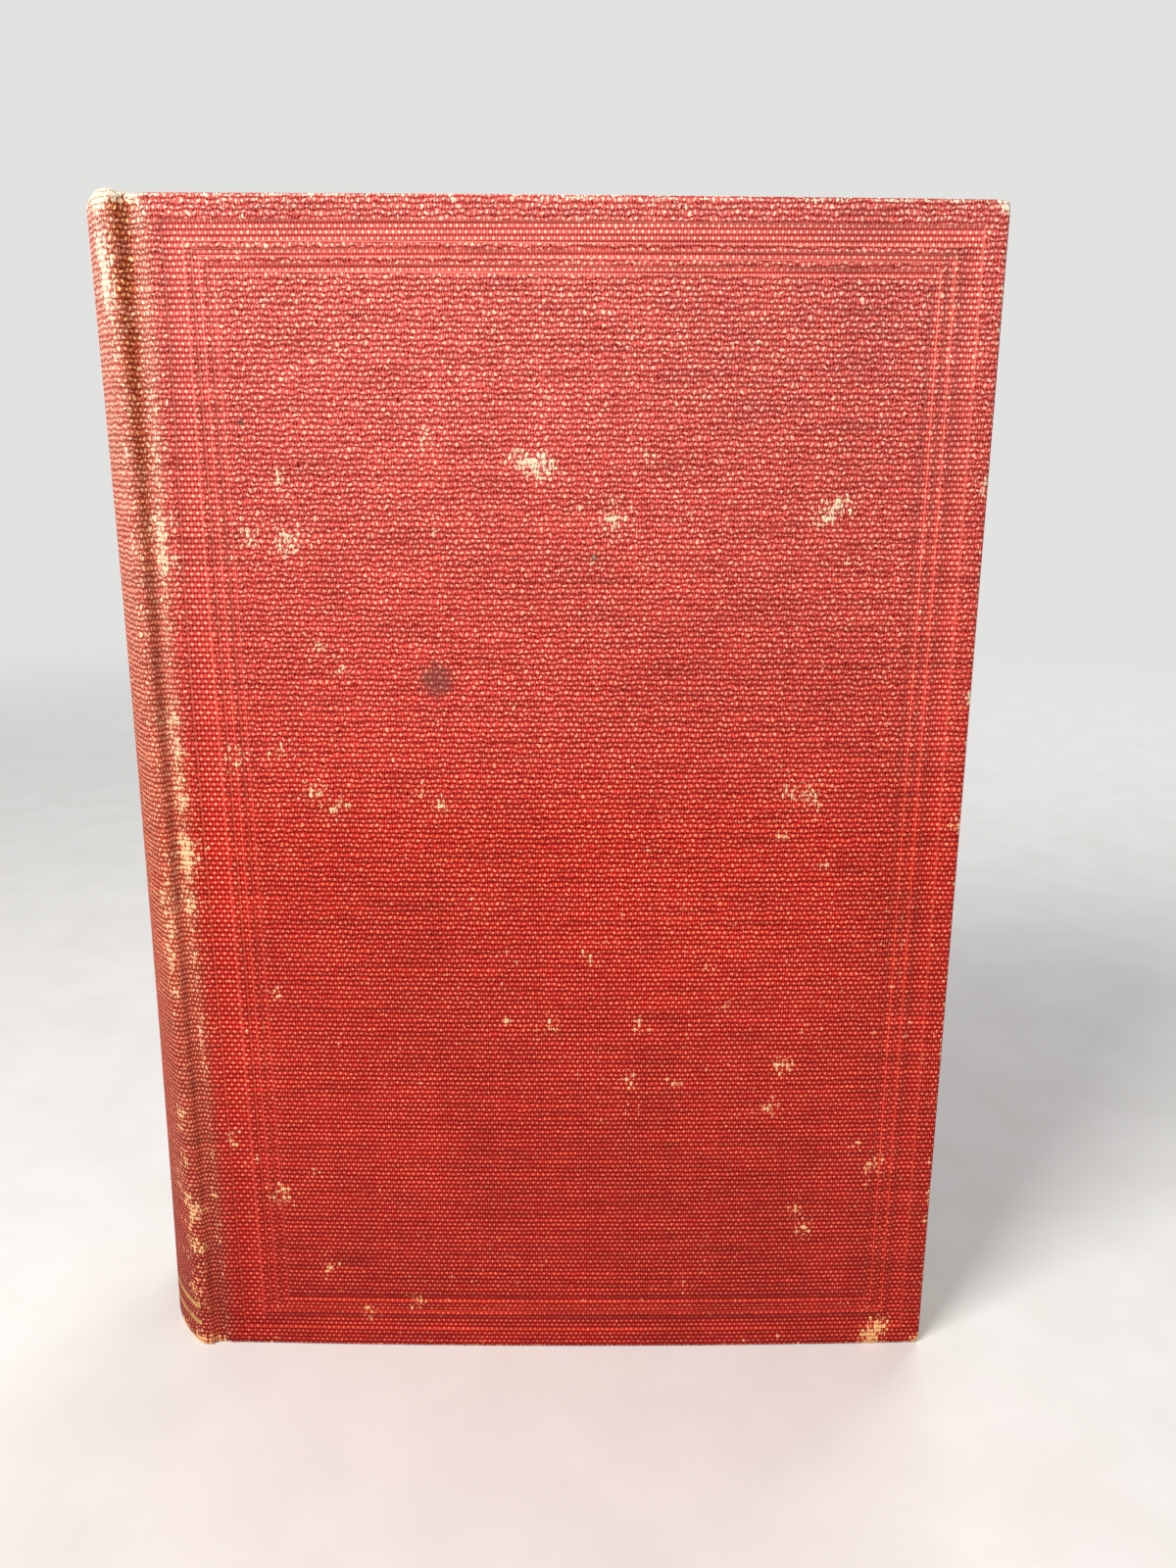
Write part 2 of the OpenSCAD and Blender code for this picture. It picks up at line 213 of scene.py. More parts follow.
class PlanPath:
    """Outer face of the case cloth seen from above, from mid-spine to the fore-edge."""

    # Width of the first column, beside the seam at mid-spine.
    SEAM_STEP = 0.06

    def __init__(self, sizes: BookSizes) -> None:
        """Works out the arcs of the path.

        Args:
            sizes: the book's sizes.
        """
        z = sizes
        groove_v = z.outer_v - z.groove_depth
        crest_v = z.outer_v + z.crest_rise
        crest_c = (-z.crest_reach, crest_v - z.crest_r)
        rise = crest_v - groove_v
        groove_r = (z.crest_reach**2 + rise**2) / (2 * rise) - z.crest_r
        groove_c = (0.0, groove_v + groove_r)
        roll_r = (z.face_start**2 + z.groove_depth**2) / (2 * z.groove_depth) - groove_r
        roll_c = (z.face_start, z.outer_v - roll_r)
        roll_angle = math.degrees(math.atan2(roll_c[1] - groove_c[1], roll_c[0] - groove_c[0]))
        crest_angle = math.degrees(math.atan2(crest_c[1] - groove_c[1], crest_c[0] - groove_c[0]))
        back = z.spine_reach - z.crest_reach
        spine_r = (back**2 + crest_c[1] ** 2 - z.crest_r**2) / (2 * (back - z.crest_r))
        spine_u = spine_r - z.spine_reach
        back_angle = math.degrees(math.atan2(crest_c[1], crest_c[0] - spine_u))
        self.sizes = sizes
        self.crest_v = crest_v
        self.bends = [
            Bend((spine_u, 0.0), spine_r, 180.0, back_angle),
            Bend(crest_c, z.crest_r, back_angle, crest_angle + 180),
            Bend(groove_c, groove_r, crest_angle, roll_angle, hollow=True),
            Bend(roll_c, roll_r, roll_angle + 180, 90.0),
        ]
        self.ends = [sum(b.length for b in self.bends[: i + 1]) for i in range(len(self.bends))]
        crest_part = (back_angle - 90) / (back_angle - crest_angle - 180)
        self.crest_s = self.ends[0] + self.bends[1].length * crest_part

    def at(self, s: float) -> Quad:
        """A point of the path and its outward direction.

        Args:
            s: distance along the cloth from mid-spine.

        Returns:
            u, v and the outward direction's two parts.
        """
        start = 0.0
        for bend, end in zip(self.bends, self.ends):
            if s <= end:
                return bend.at((s - start) / bend.length)
            start = end
        return self.sizes.face_start + s - start, self.sizes.outer_v, 0.0, 1.0

    def s_of(self, u: float) -> float:
        """Distance along the cloth of a point u on the flat face."""
        return self.ends[-1] + u - self.sizes.face_start

    def stations(self, shares: tuple[int, int, int, int]) -> list[float]:
        """Distances that split each bend evenly, after a narrow step beside the seam.

        Args:
            shares: the number of steps of each bend.

        Returns:
            Distances from mid-spine to the start of the flat face.
        """
        found, start = [0.0, self.SEAM_STEP], 0.0
        for count, end in zip(shares, self.ends):
            found += [start + (end - start) * (i + 1) / count for i in range(count)]
            start = end
        return found


class BookSpace:
    """Places points of the plan frame in the row frame."""

    def __init__(self, sizes: BookSizes, path: PlanPath, side: Side, bow: float) -> None:
        """Keeps what the places depend on.

        Args:
            sizes: the book's sizes.
            path: the plan path of the cloth.
            side: which cover.
            bow: how far the middle of the cover stands out.
        """
        self.sizes, self.path, self.side, self.bow = sizes, path, side, bow

    def flare(self, z: float) -> float:
        """How much further the spine reaches at height z."""
        h = self.sizes.cover_h
        return 1 + self.sizes.foot_flare / self.sizes.spine_reach * ((h - z) / h) ** 2

    def drift(self, u: float, z: float) -> float:
        """How far the worn joint has crept towards the spine at a point."""
        reach = 0.3 + 1.8 * ease(self.sizes.cover_h - z, 10, 95)
        return reach * ease(u, -4.1, 0.9) * (1 - ease(u, 3, 12))

    def filled(self, u: float, z: float) -> float:
        """How much shallower the groove has become towards the foot."""
        return 0.85 * ease(self.sizes.cover_h - z, 50, 175) * bell(u, -0.2, 2.1)

    def put(self, u: float, v: float, z: float, creep: float = 0.0) -> Vector:
        """A point in metres, with the cover's bow and the spine's flare added.

        Args:
            u: the point across.
            v: the point through the cover.
            z: the point up.
            creep: how much of the worn joint's change of shape it takes.

        Returns:
            The point.
        """
        crept = self.drift(u, z) * creep
        v += self.filled(u, z) * creep
        if u > self.sizes.face_start:
            t = min(1.0, (u - self.sizes.face_start) / (self.sizes.cover_w - self.sizes.face_start))
            v += self.bow * 4 * t * (1 - t)
        if u < 0:
            u *= self.flare(z)
        return Vector(((u - crept - self.sizes.origin_u) * MM, self.side.value * v * MM, z * MM))

    def foot_z(self, s: float) -> float:
        """Tail line of the cloth, a little uneven where it is frayed."""
        worn = ease(-abs(s), -24, -14)
        return 0.10 * worn * soft_noise(s * self.side.value * 0.5, 3.1)

    def head_z(self, s: float) -> float:
        """Head line of the cloth: sagging over the back, up over the ridge, then the cover.

        Args:
            s: distance along the cloth from mid-spine.

        Returns:
            The height.
        """
        z = self.sizes
        u, v, _, _ = self.path.at(s)
        if u > 0:
            return z.head_z(u)
        if u > -z.crest_reach:
            top = z.cover_h - z.cap_rise * u / z.crest_reach
        else:
            top = z.cover_h + z.cap_rise - z.cap_sag * (1 - (v / self.path.crest_v) ** 2) ** 2
        return top + 0.22 * ease(-u, 0.5, 4) * soft_noise(s * self.side.value * 0.45, 7.7)

    def inner(self, s: float) -> Pair:
        """Point of the turned-in cloth behind a point of the outer face.

        Args:
            s: distance along the cloth from mid-spine.

        Returns:
            u and v of the inner point.
        """
        u, v, nu, nv = self.path.at(s)
        z = self.sizes
        hem = 2 * z.cloth_t + (z.inlay_t + 0.1) * ease(-u, 0.6, 3.4)
        iu, iv = u - nu * hem, v - nv * hem
        t = ease(u, 1.2, 3.1)
        return iu + (u - iu) * t, iv + (z.turn_v - iv) * t


def clear_selection() -> None:
    """Leaves object mode with nothing selected."""
    if bpy.context.object and bpy.context.object.mode != "OBJECT":
        bpy.ops.object.mode_set(mode="OBJECT")
    bpy.ops.object.select_all(action="DESELECT")


def activate(obj: Piece) -> None:
    """Makes one object active and the only one selected.

    Args:
        obj: the piece.
    """
    clear_selection()
    bpy.context.view_layer.objects.active = obj
    obj.select_set(True)


def apply_modifier(obj: Piece, kind: str, **settings: object) -> None:
    """Adds a modifier, sets it and applies it.

    Args:
        obj: the piece.
        kind: Blender's type of modifier.
        settings: its settings.
    """
    activate(obj)
    bpy.ops.object.modifier_add(type=kind)
    modifier = obj.modifiers[-1]
    for name, value in settings.items():
        setattr(modifier, name, value)
    bpy.ops.object.modifier_apply(modifier=modifier.name)


def smooth(obj: Piece) -> None:
    """Shades a piece smooth, apart from its sharp edges."""
    activate(obj)
    bpy.ops.object.shade_smooth_by_angle(angle=SHARP)


def new_grid(name: str, across: int, up: int) -> Piece:
    """A flat grid primitive, whose points are laid in place later.

    Args:
        name: the piece's name.
        across: number of columns of points.
        up: number of rows of points.

    Returns:
        The object, at the origin.
    """
    clear_selection()
    bpy.ops.mesh.primitive_grid_add(x_subdivisions=across - 1, y_subdivisions=up - 1, size=2)
    obj = bpy.context.object
    obj.name = obj.data.name = name
    return obj


def grid_index(co: Vector, across: int, up: int) -> tuple[int, int]:
    """Column and row of a point of a fresh grid primitive."""
    return round((co.x + 1) / 2 * (across - 1)), round((co.y + 1) / 2 * (up - 1))


@dataclass(frozen=True)
class WearMark:
    """A rubbed spot on the cloth, in millimetres."""

    u: float
    z: float
    r: float
    strength: float = 0.55


# Where the photograph shows the cloth rubbed: u, z, radius and, if not the usual, strength.
FRONT_MARKS = tuple(
    WearMark(*m)
    for m in (
        (50, 194, 1.5), (69, 190, 2.4), (72, 189, 2.6), (66, 191, 1.4), (90, 192, 1.5),
        (23, 187, 1.8), (17, 177, 1.5), (24, 176, 2.8), (51, 178, 1.4), (84, 180, 2.4),
        (81, 173, 1.2), (123, 181, 2.2), (126, 183, 1.5), (29, 156, 1.5), (33, 152, 1.4),
        (11, 135, 2.4), (20, 136, 1.6), (26, 128, 2.0), (31, 125, 1.8), (47, 128, 1.2),
        (51, 125, 1.5), (118, 128, 1.6), (123, 127, 2.6), (118, 119, 1.8), (127, 112, 1.2),
        (80, 93, 1.8), (104, 91, 1.4), (16, 85, 1.5), (72, 79, 2.0), (63, 79, 1.2), (90, 78, 1.8),
        (108, 82, 1.8), (120, 69, 2.0), (88, 65, 1.5), (98, 65, 1.2), (117, 59, 1.8),
        (136, 50, 1.5), (140, 45, 2.2), (14, 38, 2.8), (21, 43, 1.2), (124, 35, 1.5),
        (126, 30, 2.0), (23, 20, 1.8), (144, 5, 2.4, 0.6), (142, 2, 1.8, 0.6), (31, 9, 1.6),
        (42, 12, 1.4), (0.6, 178, 2.4, 0.4), (0.8, 172, 2.4, 0.4), (-0.6, 142, 2.4, 0.5),
        (-0.2, 136, 2.2, 0.5), (-0.4, 130, 2.0, 0.45), (0, 125, 2.4, 0.5), (0.2, 117, 2.2, 0.5),
        (0.6, 113, 2.4, 0.55), (0, 104, 2.0, 0.4), (-5.6, 57, 1.2, 0.5), (-5.4, 53.5, 1.0, 0.4),
        (-5.6, 46, 1.2, 0.5), (-7.4, 42, 1.2, 0.5), (-7.4, 39, 1.0, 0.4), (-5.6, 36.5, 1.1, 0.45),
        (-3.4, 34.5, 1.2, 0.5), (-4.6, 32, 1.0, 0.4), (-6.2, 29.5, 1.2, 0.45), (-5.6, 26, 1.0, 0.4),
        (-3.8, 24.5, 1.2, 0.45), (-7.0, 22, 1.1, 0.4), (-6, 13.8, 1.1, 0.45), (5, 53, 1.6, 0.6),
        (4, 50.7, 1.6, 0.6), (4.7, 59.7, 1.4, 0.55), (8.7, 46, 1.5, 0.55), (152, 186, 1.6, 0.5),
        (152, 146, 1.4, 0.5), (152, 121, 1.6, 0.5),
    )
)


class CaseCloth:
    """The book cloth over one cover, its joint and half of the spine."""

    # Half the width of a stamped line's wall, and the grid's lines next to the rim.
    FRAME_SOFT = 0.16
    RIM_STEPS = (1.1, 1.35, 1.6, 1.8, 2.4, 3.2)
    # What a rim point hands on to its folds, and what the material reads.
    RIM_KEYS = ("base_s", "base_z", "way_s", "way_z", "fold")
    # Besides wear, stamping and fading, these carry the groove's painted shade and the lip's painted
    # highlight.
    WEAR_AND_SHADE_KEYS = ("rub_and_lip_highlight", "press", "wall", "fade", "groove_stain_and_shade", "kept")
    SKIN_T = 0.38
    # Below TAIL_Z the skin's inner face stays TAIL_GAP above its outer one, clear of the floor.
    TAIL_Z, TAIL_GAP = 0.6, 0.04

    def __init__(self, space: BookSpace, marks: tuple[WearMark, ...], stamp: float) -> None:
        """Keeps what the cloth is made from.

        Args:
            space: places the points.
            marks: rubbed spots.
            stamp: depth of the blind-ruled frame.
        """
        self.space, self.marks, self.stamp = space, marks, stamp
        self.sizes, self.path = space.sizes, space.path

    def rings(self) -> list[Pair]:
        """Start and width of each stamped ring, measured from the cover's edge.

        Returns:
            The rings, outermost first.
        """
        z = self.sizes
        found = [(z.frame_margin, z.band_w)]
        for i in range(1, z.rules + 1):
            found.append((z.frame_margin + z.band_w + i * z.ridge_w + (i - 1) * z.rule_w, z.rule_w))
        return found

    def lines(self) -> list[float]:
        """Distances from the edge where the grid needs a line."""
        edges = [edge for start, width in self.rings() for edge in (start, start + width)]
        return [edge + d * self.FRAME_SOFT for edge in edges for d in (-1, 0, 1)]

    def columns(self) -> list[float]:
        """Distances along the cloth of the grid's columns.

        Returns:
            The columns, from mid-spine to the fore-edge.
        """
        z, path = self.sizes, self.path
        found = path.stations((20, 14, 14, 8))
        lines = self.lines()
        left = [z.frame_spine - z.frame_margin + d for d in lines]
        right = [z.cover_w - d for d in reversed(lines)]
        gaps = 88
        middle = [left[-1] + (right[0] - left[-1]) * i / gaps for i in range(1, gaps)]
        tail = [z.cover_w - d for d in (*reversed(self.RIM_STEPS), z.edge_r)]
        found += [path.s_of(u) for u in [4.1, *left, *middle, *right, *tail]]
        return found

    def rows(self) -> list[Pair]:
        """Rows as (share, shift): share 0 is the tail rim, 1 the head rim.

        Returns:
            The rows, from tail to head.
        """
        rim = self.sizes.edge_r
        low = [d - rim for d in (rim, *self.RIM_STEPS, *self.lines())]
        gaps = 130
        tail = [(0.0, d) for d in low]
        head = [(1.0, -d) for d in reversed(low)]
        middle = [(i / gaps, low[-1] * (1 - 2 * i / gaps)) for i in range(1, gaps)]
        return tail + middle + head

    def rim_r(self, s: float) -> float:
        """Radius of the cloth's fold over the head and tail edges."""
        u = self.path.at(s)[0]
        return self.sizes.edge_r - 0.42 * ease(-abs(u), -1.9, -0.9)

    def stamped(self, u: float, z: float) -> Pair:
        """How a point of the face is stamped.

        Args:
            u: the point's place across.
            z: height.

        Returns:
            How far it is pressed in, from 0 to 1 and less where it is worn, and how much of a
            stretched wall it is, from 0 to 1.
        """
        size = self.sizes
        edges = (z, size.head_z(u) - z, size.cover_w - u, u - size.frame_spine + size.frame_margin)
        d = min(edges)
        soft = self.FRAME_SOFT
        depth = 0.0
        for start, width in self.rings():
            end = start + width
            inside = ease(d, start - soft, start + soft) * (1 - ease(d, end - soft, end + soft))
            depth = max(depth, inside)
        keep = (0.45, 1.0, 0.5, 0.7)[edges.index(d)]
        patch = 0.5 + 0.5 * soft_noise(u * 0.03, z * 0.03, 4.0)
        keep += (1 - keep) * 0.5 * patch
        return depth * keep, 4 * depth * (1 - depth) * keep

    def rub_and_lip_highlight(self, s: float, z: float, fold: float) -> float:
        """How worn the cloth is, with a painted highlight on the groove's lip, from 0 to 1.

        Args:
            s: distance along the cloth from mid-spine.
            z: height.
            fold: distance past the rim, over the edge.

        Returns:
            The amount of wear.
        """
        size = self.sizes
        u = self.path.at(s)[0]
        fine = soft_noise(s * 0.35, z * 0.35, 9.5)
        worn = 0.16 + 0.14 * soft_noise(s * 0.05, z * 0.05, 1.5)
        top = self.space.head_z(s) if u < 3 else size.head_z(u)
        edge = min(z, top - z, size.cover_w - u if u > 3 else 99)
        worn += (0.16 + 0.16 * fine) * math.exp(-max(edge, 0) / 0.9)
        worn += 0.12 * ease(z, top - 6, top - 1)
        if 0 < fold < 3:
            worn += 0.14 + 0.15 * fine
        if u > 3:
            for corner_z, reach in ((size.head_z(size.cover_w), 1.9), (0.0, 2.1)):
                far = math.hypot(size.cover_w - u, z - corner_z)
                worn += 1.2 * bell(far, 0.0, reach)
        else:
            worn += self.joint_rub_and_lip_highlight(s, u, z, fine)
        seen_u = u - self.space.drift(u, z)
        for mark in self.marks:
            far2 = (seen_u - mark.u) ** 2 + (z - mark.z) ** 2
            if far2 < (mark.r * 3) ** 2 and u > -9:
                worn += 0.86 * mark.strength * math.exp(-far2 / (1.25 * mark.r) ** 2)
        return max(0.0, min(1.0, worn)) * (1 - 0.8 * ease(fold, 2.5, 6))

    def joint_rub_and_lip_highlight(self, s: float, u: float, z: float, fine: float) -> float:
        """Extra wear of the spine and the ridge, and wear with a painted highlight on the lip of the groove.

        Args:
            s: distance along the cloth from mid-spine.
            u: the point's place across.
            z: height.
            fine: small noise at the point.

        Returns:
            The amount to add.
        """
        high = self.sizes.cover_h
        crest = s - self.path.crest_s
        ridge = soft_noise(z * 0.035, 5.0, self.space.side.value)
        lip = soft_noise(z * 0.05, 8.0, self.space.side.value)
        worn = 0.06 + (0.13 + 0.26 * ridge + 0.16 * fine) * bell(crest, -0.8, 2.0)
        bare = soft_noise(s * 0.2, z * 0.2, 2.0)
        worn += (0.7 + 0.9 * bare) * ease(z, high - 26, high - 8) * bell(crest, -3.0, 2.4)
        # The groove's lip: rubbed, and a painted highlight where the board's edge catches the light.
        worn += (0.14 + 0.38 * max(lip, 0.0)) * bell(u, 1.7, 1.1)
        ends = (0.5 + 0.3 * fine) * ease(z, high - 4, high + 1)
        ends += (0.36 + 0.3 * fine) * ease(-z, -3.5, 0)
        return worn + ends * (1 - ease(u, -0.5, 2.6))

    def build(self) -> Piece:
        """Lays a grid over the cover and the spine, turns its rim in and gives it a thickness.

        Returns:
            The finished piece.
        """
        word = self.space.side.word
        columns, rows = self.columns(), self.rows()
        obj = new_grid(f"{word}_case_cloth", len(columns), len(rows))
        mesh = obj.data
        for name in self.RIM_KEYS:
            mesh.attributes.new(name, "FLOAT", "POINT")
        layers = [mesh.attributes[name].data for name in self.RIM_KEYS]
        last = len(columns) - 1
        for vertex in mesh.vertices:
            i, j = grid_index(vertex.co, len(columns), len(rows))
            s, (share, shift) = columns[i], rows[j]
            low = self.space.foot_z(s) + self.rim_r(s)
            high = self.space.head_z(s) - self.rim_r(s)
            z = low + (high - low) * share + shift
            way_s, way_z = 0.0, 0.0
            s, z, corner = self.round_corner(s, z)
            if corner:
                way_s, way_z = corner
            elif i == last:
                way_s = 1.0
            elif j in (0, len(rows) - 1):
                way_z = -1.0 if j == 0 else 1.0
            for layer, value in zip(layers, (s, z, way_s, way_z, 0.0)):
                layer[vertex.index].value = value
            u, v, nu, nv = self.path.at(s)
            sunk = self.stamp * self.stamped(u, z)[0] if u > self.sizes.face_start else 0.0
            vertex.co = self.space.put(u, v - sunk, z, 1.0)
        self.turn_in(obj)
        self.finish(obj)
        return obj

    def round_corner(self, s: float, z: float) -> tuple[float, float, Pair | None]:
        """Moves a point of the square grid onto the cover's rounded fore-edge corners.

        Args:
            s: distance along the cloth.
            z: height.

        Returns:
            The new s and z, and the outward way in the face if the point is on the rounded rim.
        """
        size = self.sizes
        inset = size.corner_r - size.edge_r
        u = self.path.at(s)[0]
        x = (u - (size.cover_w - size.corner_r)) / inset
        if x <= 0:
            return s, z, None
        top = size.head_z(size.cover_w) - size.corner_r
        low = z < size.cover_h / 2
        y = (size.corner_r - z) / inset if low else (z - top) / inset
        if y <= 0:
            return s, z, None
        reach = max(x, y)
        angle = math.radians(45 * (y / x if x >= y else 2 - x / y))
        c, d = math.cos(angle), math.sin(angle)
        s = self.path.s_of(size.cover_w - size.corner_r + inset * reach * c)
        z = size.corner_r - inset * reach * d if low else top + inset * reach * d
        on_rim = reach > 0.999
        return s, z, (c, -d if low else d) if on_rim else None

    def fold_steps(self) -> list[tuple[str, float]]:
        """Steps of the fold: over the outer edge, over the inner edge, then along the inside."""
        turn = [("out", q / 4) for q in range(1, 5)] + [("in", q / 4) for q in range(0, 5)]
        return turn + [("flat", inset) for inset in (1.85, 3.0, 6.0, 10.0, self.sizes.turn_in_w)]

    def turn_in(self, obj: Piece) -> None:
        """Extrudes the rim round the edges of the board and in along its inside.

        Args:
            obj: the laid grid.
        """
        activate(obj)
        bpy.ops.object.mode_set(mode="EDIT")
        bpy.ops.mesh.select_mode(type="EDGE")
        bpy.ops.mesh.select_all(action="DESELECT")
        bm = bmesh.from_edit_mesh(obj.data)
        base_s = bm.verts.layers.float["base_s"]
        for edge in bm.edges:
            on_seam = all(v[base_s] < 1e-6 for v in edge.verts)
            edge.select_set(edge.is_boundary and not on_seam)
        bmesh.update_edit_mesh(obj.data)
        for kind, share in self.fold_steps():
            bpy.ops.mesh.extrude_edges_move()
            bm = bmesh.from_edit_mesh(obj.data)
            keys = {n: bm.verts.layers.float[n] for n in self.RIM_KEYS}
            for v in bm.verts:
                if v.select:
                    v.co, v[keys["fold"]] = self.folded(v, keys, kind, share)
            bmesh.update_edit_mesh(obj.data)
        bpy.ops.mesh.select_all(action="SELECT")
        bpy.ops.mesh.remove_doubles(threshold=0.01 * MM)
        bpy.ops.object.mode_set(mode="OBJECT")

    def folded(self, vert: object, keys: dict, kind: str, share: float) -> tuple[Vector, float]:
        """Place of a rim point after a step of the fold.

        Args:
            vert: the edit-mode vertex, with the rim's values in its layers.
            keys: the layers.
            kind: which part of the fold.
            share: how far along that part, or the inset for the flat part.

        Returns:
            The point and its distance past the rim along the cloth.
        """
        size = self.sizes
        s0, z0 = vert[keys["base_s"]], vert[keys["base_z"]]
        way_s, way_z = vert[keys["way_s"]], vert[keys["way_z"]]
        r = self.rim_r(s0)
        iu, iv = self.space.inner(s0)
        ou, ov, _, _ = self.path.at(s0)
        thick = math.hypot(iu - ou, iv - ov)
        r = min(r, thick / 2 * 0.98)
        arc = r * math.pi / 2
        angle = share * math.pi / 2
        if kind == "out":
            along, deep, fold = r * math.sin(angle), r * (1 - math.cos(angle)), arc * share
        elif kind == "in":
            along, deep = r * math.cos(angle), thick - r * (1 - math.sin(angle))
            fold = arc + (thick - 2 * r) + arc * share
        else:
            along, deep = size.edge_r - share, thick
            fold = 2 * arc + thick - 2 * r + share - size.edge_r
        s, z = s0 + way_s * along, z0 + way_z * along
        u = self.path.at(s)[0] if s > self.path.ends[-1] else ou
        if kind == "flat" and u > size.face_start:
            u, z = self.mitred(u, z, way_s, way_z, share)
        t = deep / thick
        if s > self.path.ends[-1]:
            return self.space.put(u, ov + (size.turn_v - ov) * t, z, 1 - t), fold
        return self.space.put(ou + (iu - ou) * t, ov + (iv - ov) * t, z, 1 - t), fold

    def mitred(self, u: float, z: float, way_s: float, way_z: float, inset: float) -> Pair:
        """Keeps a point of the turned-in cloth on its own side of the corner's mitre.

        Args:
            u: the point before, across.
            z: the point before, up.
            way_s: its way across.
            way_z: its way up.
            inset: distance from the cover's edge.

        Returns:
            The point on or inside the mitre line.
        """
        size = self.sizes
        right, top = size.cover_w - inset, size.head_z(size.cover_w) - inset
        if way_s and way_z:
            return right, inset if way_z < 0 else top
        if way_s:
            return right, min(max(z, inset), top)
        return min(u, right), z

    def finish(self, obj: Piece) -> None:
        """Faces the cloth outwards, thickens it, and keeps its tail above the floor.

        Args:
            obj: the folded sheet.
        """
        mesh = obj.data
        way = self.space.side.value
        outermost = max(mesh.polygons, key=lambda p: p.center.y * way)
        if outermost.normal.y * way < 0:
            mesh.flip_normals()
        apply_modifier(obj, "SOLIDIFY", thickness=self.SKIN_T * MM, offset=-1.0)
        half = len(mesh.vertices) // 2
        for outer, inner in zip(mesh.vertices[:half], mesh.vertices[half:]):
            if outer.co.z < self.TAIL_Z * MM and inner.co.z < outer.co.z:
                inner.co.z = outer.co.z + self.TAIL_GAP * MM
        self.write_wear_and_shade(mesh)
        smooth(obj)

    def write_wear_and_shade(self, mesh: bpy.types.Mesh) -> None:
        """Writes the map of the threads, the wear and the painted light and shade, in place of the rim's
        values.

        Args:
            mesh: the thickened cloth.
        """
        values = [mesh.attributes[name].data for name in self.RIM_KEYS]
        threads, wear_and_shade = [], []
        for i in range(len(mesh.vertices)):
            base_s, base_z, way_s, way_z, fold = (layer[i].value for layer in values)
            s, z = base_s + way_s * fold, base_z + way_z * fold
            threads.append((s * -self.space.side.value, z))
            u = self.path.at(base_s)[0]
            on_face = u > self.sizes.face_start and fold == 0
            press, wall = self.stamped(u, z) if on_face else (0.0, 0.0)
            # Groove mask: where the brown stain and its painted shade lie, wider towards the head.
            spread = 1.6 + 0.3 * ease(z, 186, 226)
            groove_stain_and_shade = bell(u, -spread, spread) if u > -8 else 0.0
            fade, kept = 1 - ease(u, 1.5, 4.6), ease(fold, 2.6, 5.5)
            wear_and_shade.append((self.rub_and_lip_highlight(base_s, base_z, fold), press, wall, fade, groove_stain_and_shade, kept))
        layer = mesh.uv_layers[0]
        layer.name = "threads"
        for loop in mesh.loops:
            layer.data[loop.index].uv = threads[loop.vertex_index]
        for name, found in zip(self.WEAR_AND_SHADE_KEYS, zip(*wear_and_shade)):
            attribute = mesh.attributes.new(name, "FLOAT", "POINT")
            attribute.data.foreach_set("value", found)
        for name in self.RIM_KEYS:
            mesh.attributes.remove(mesh.attributes[name])


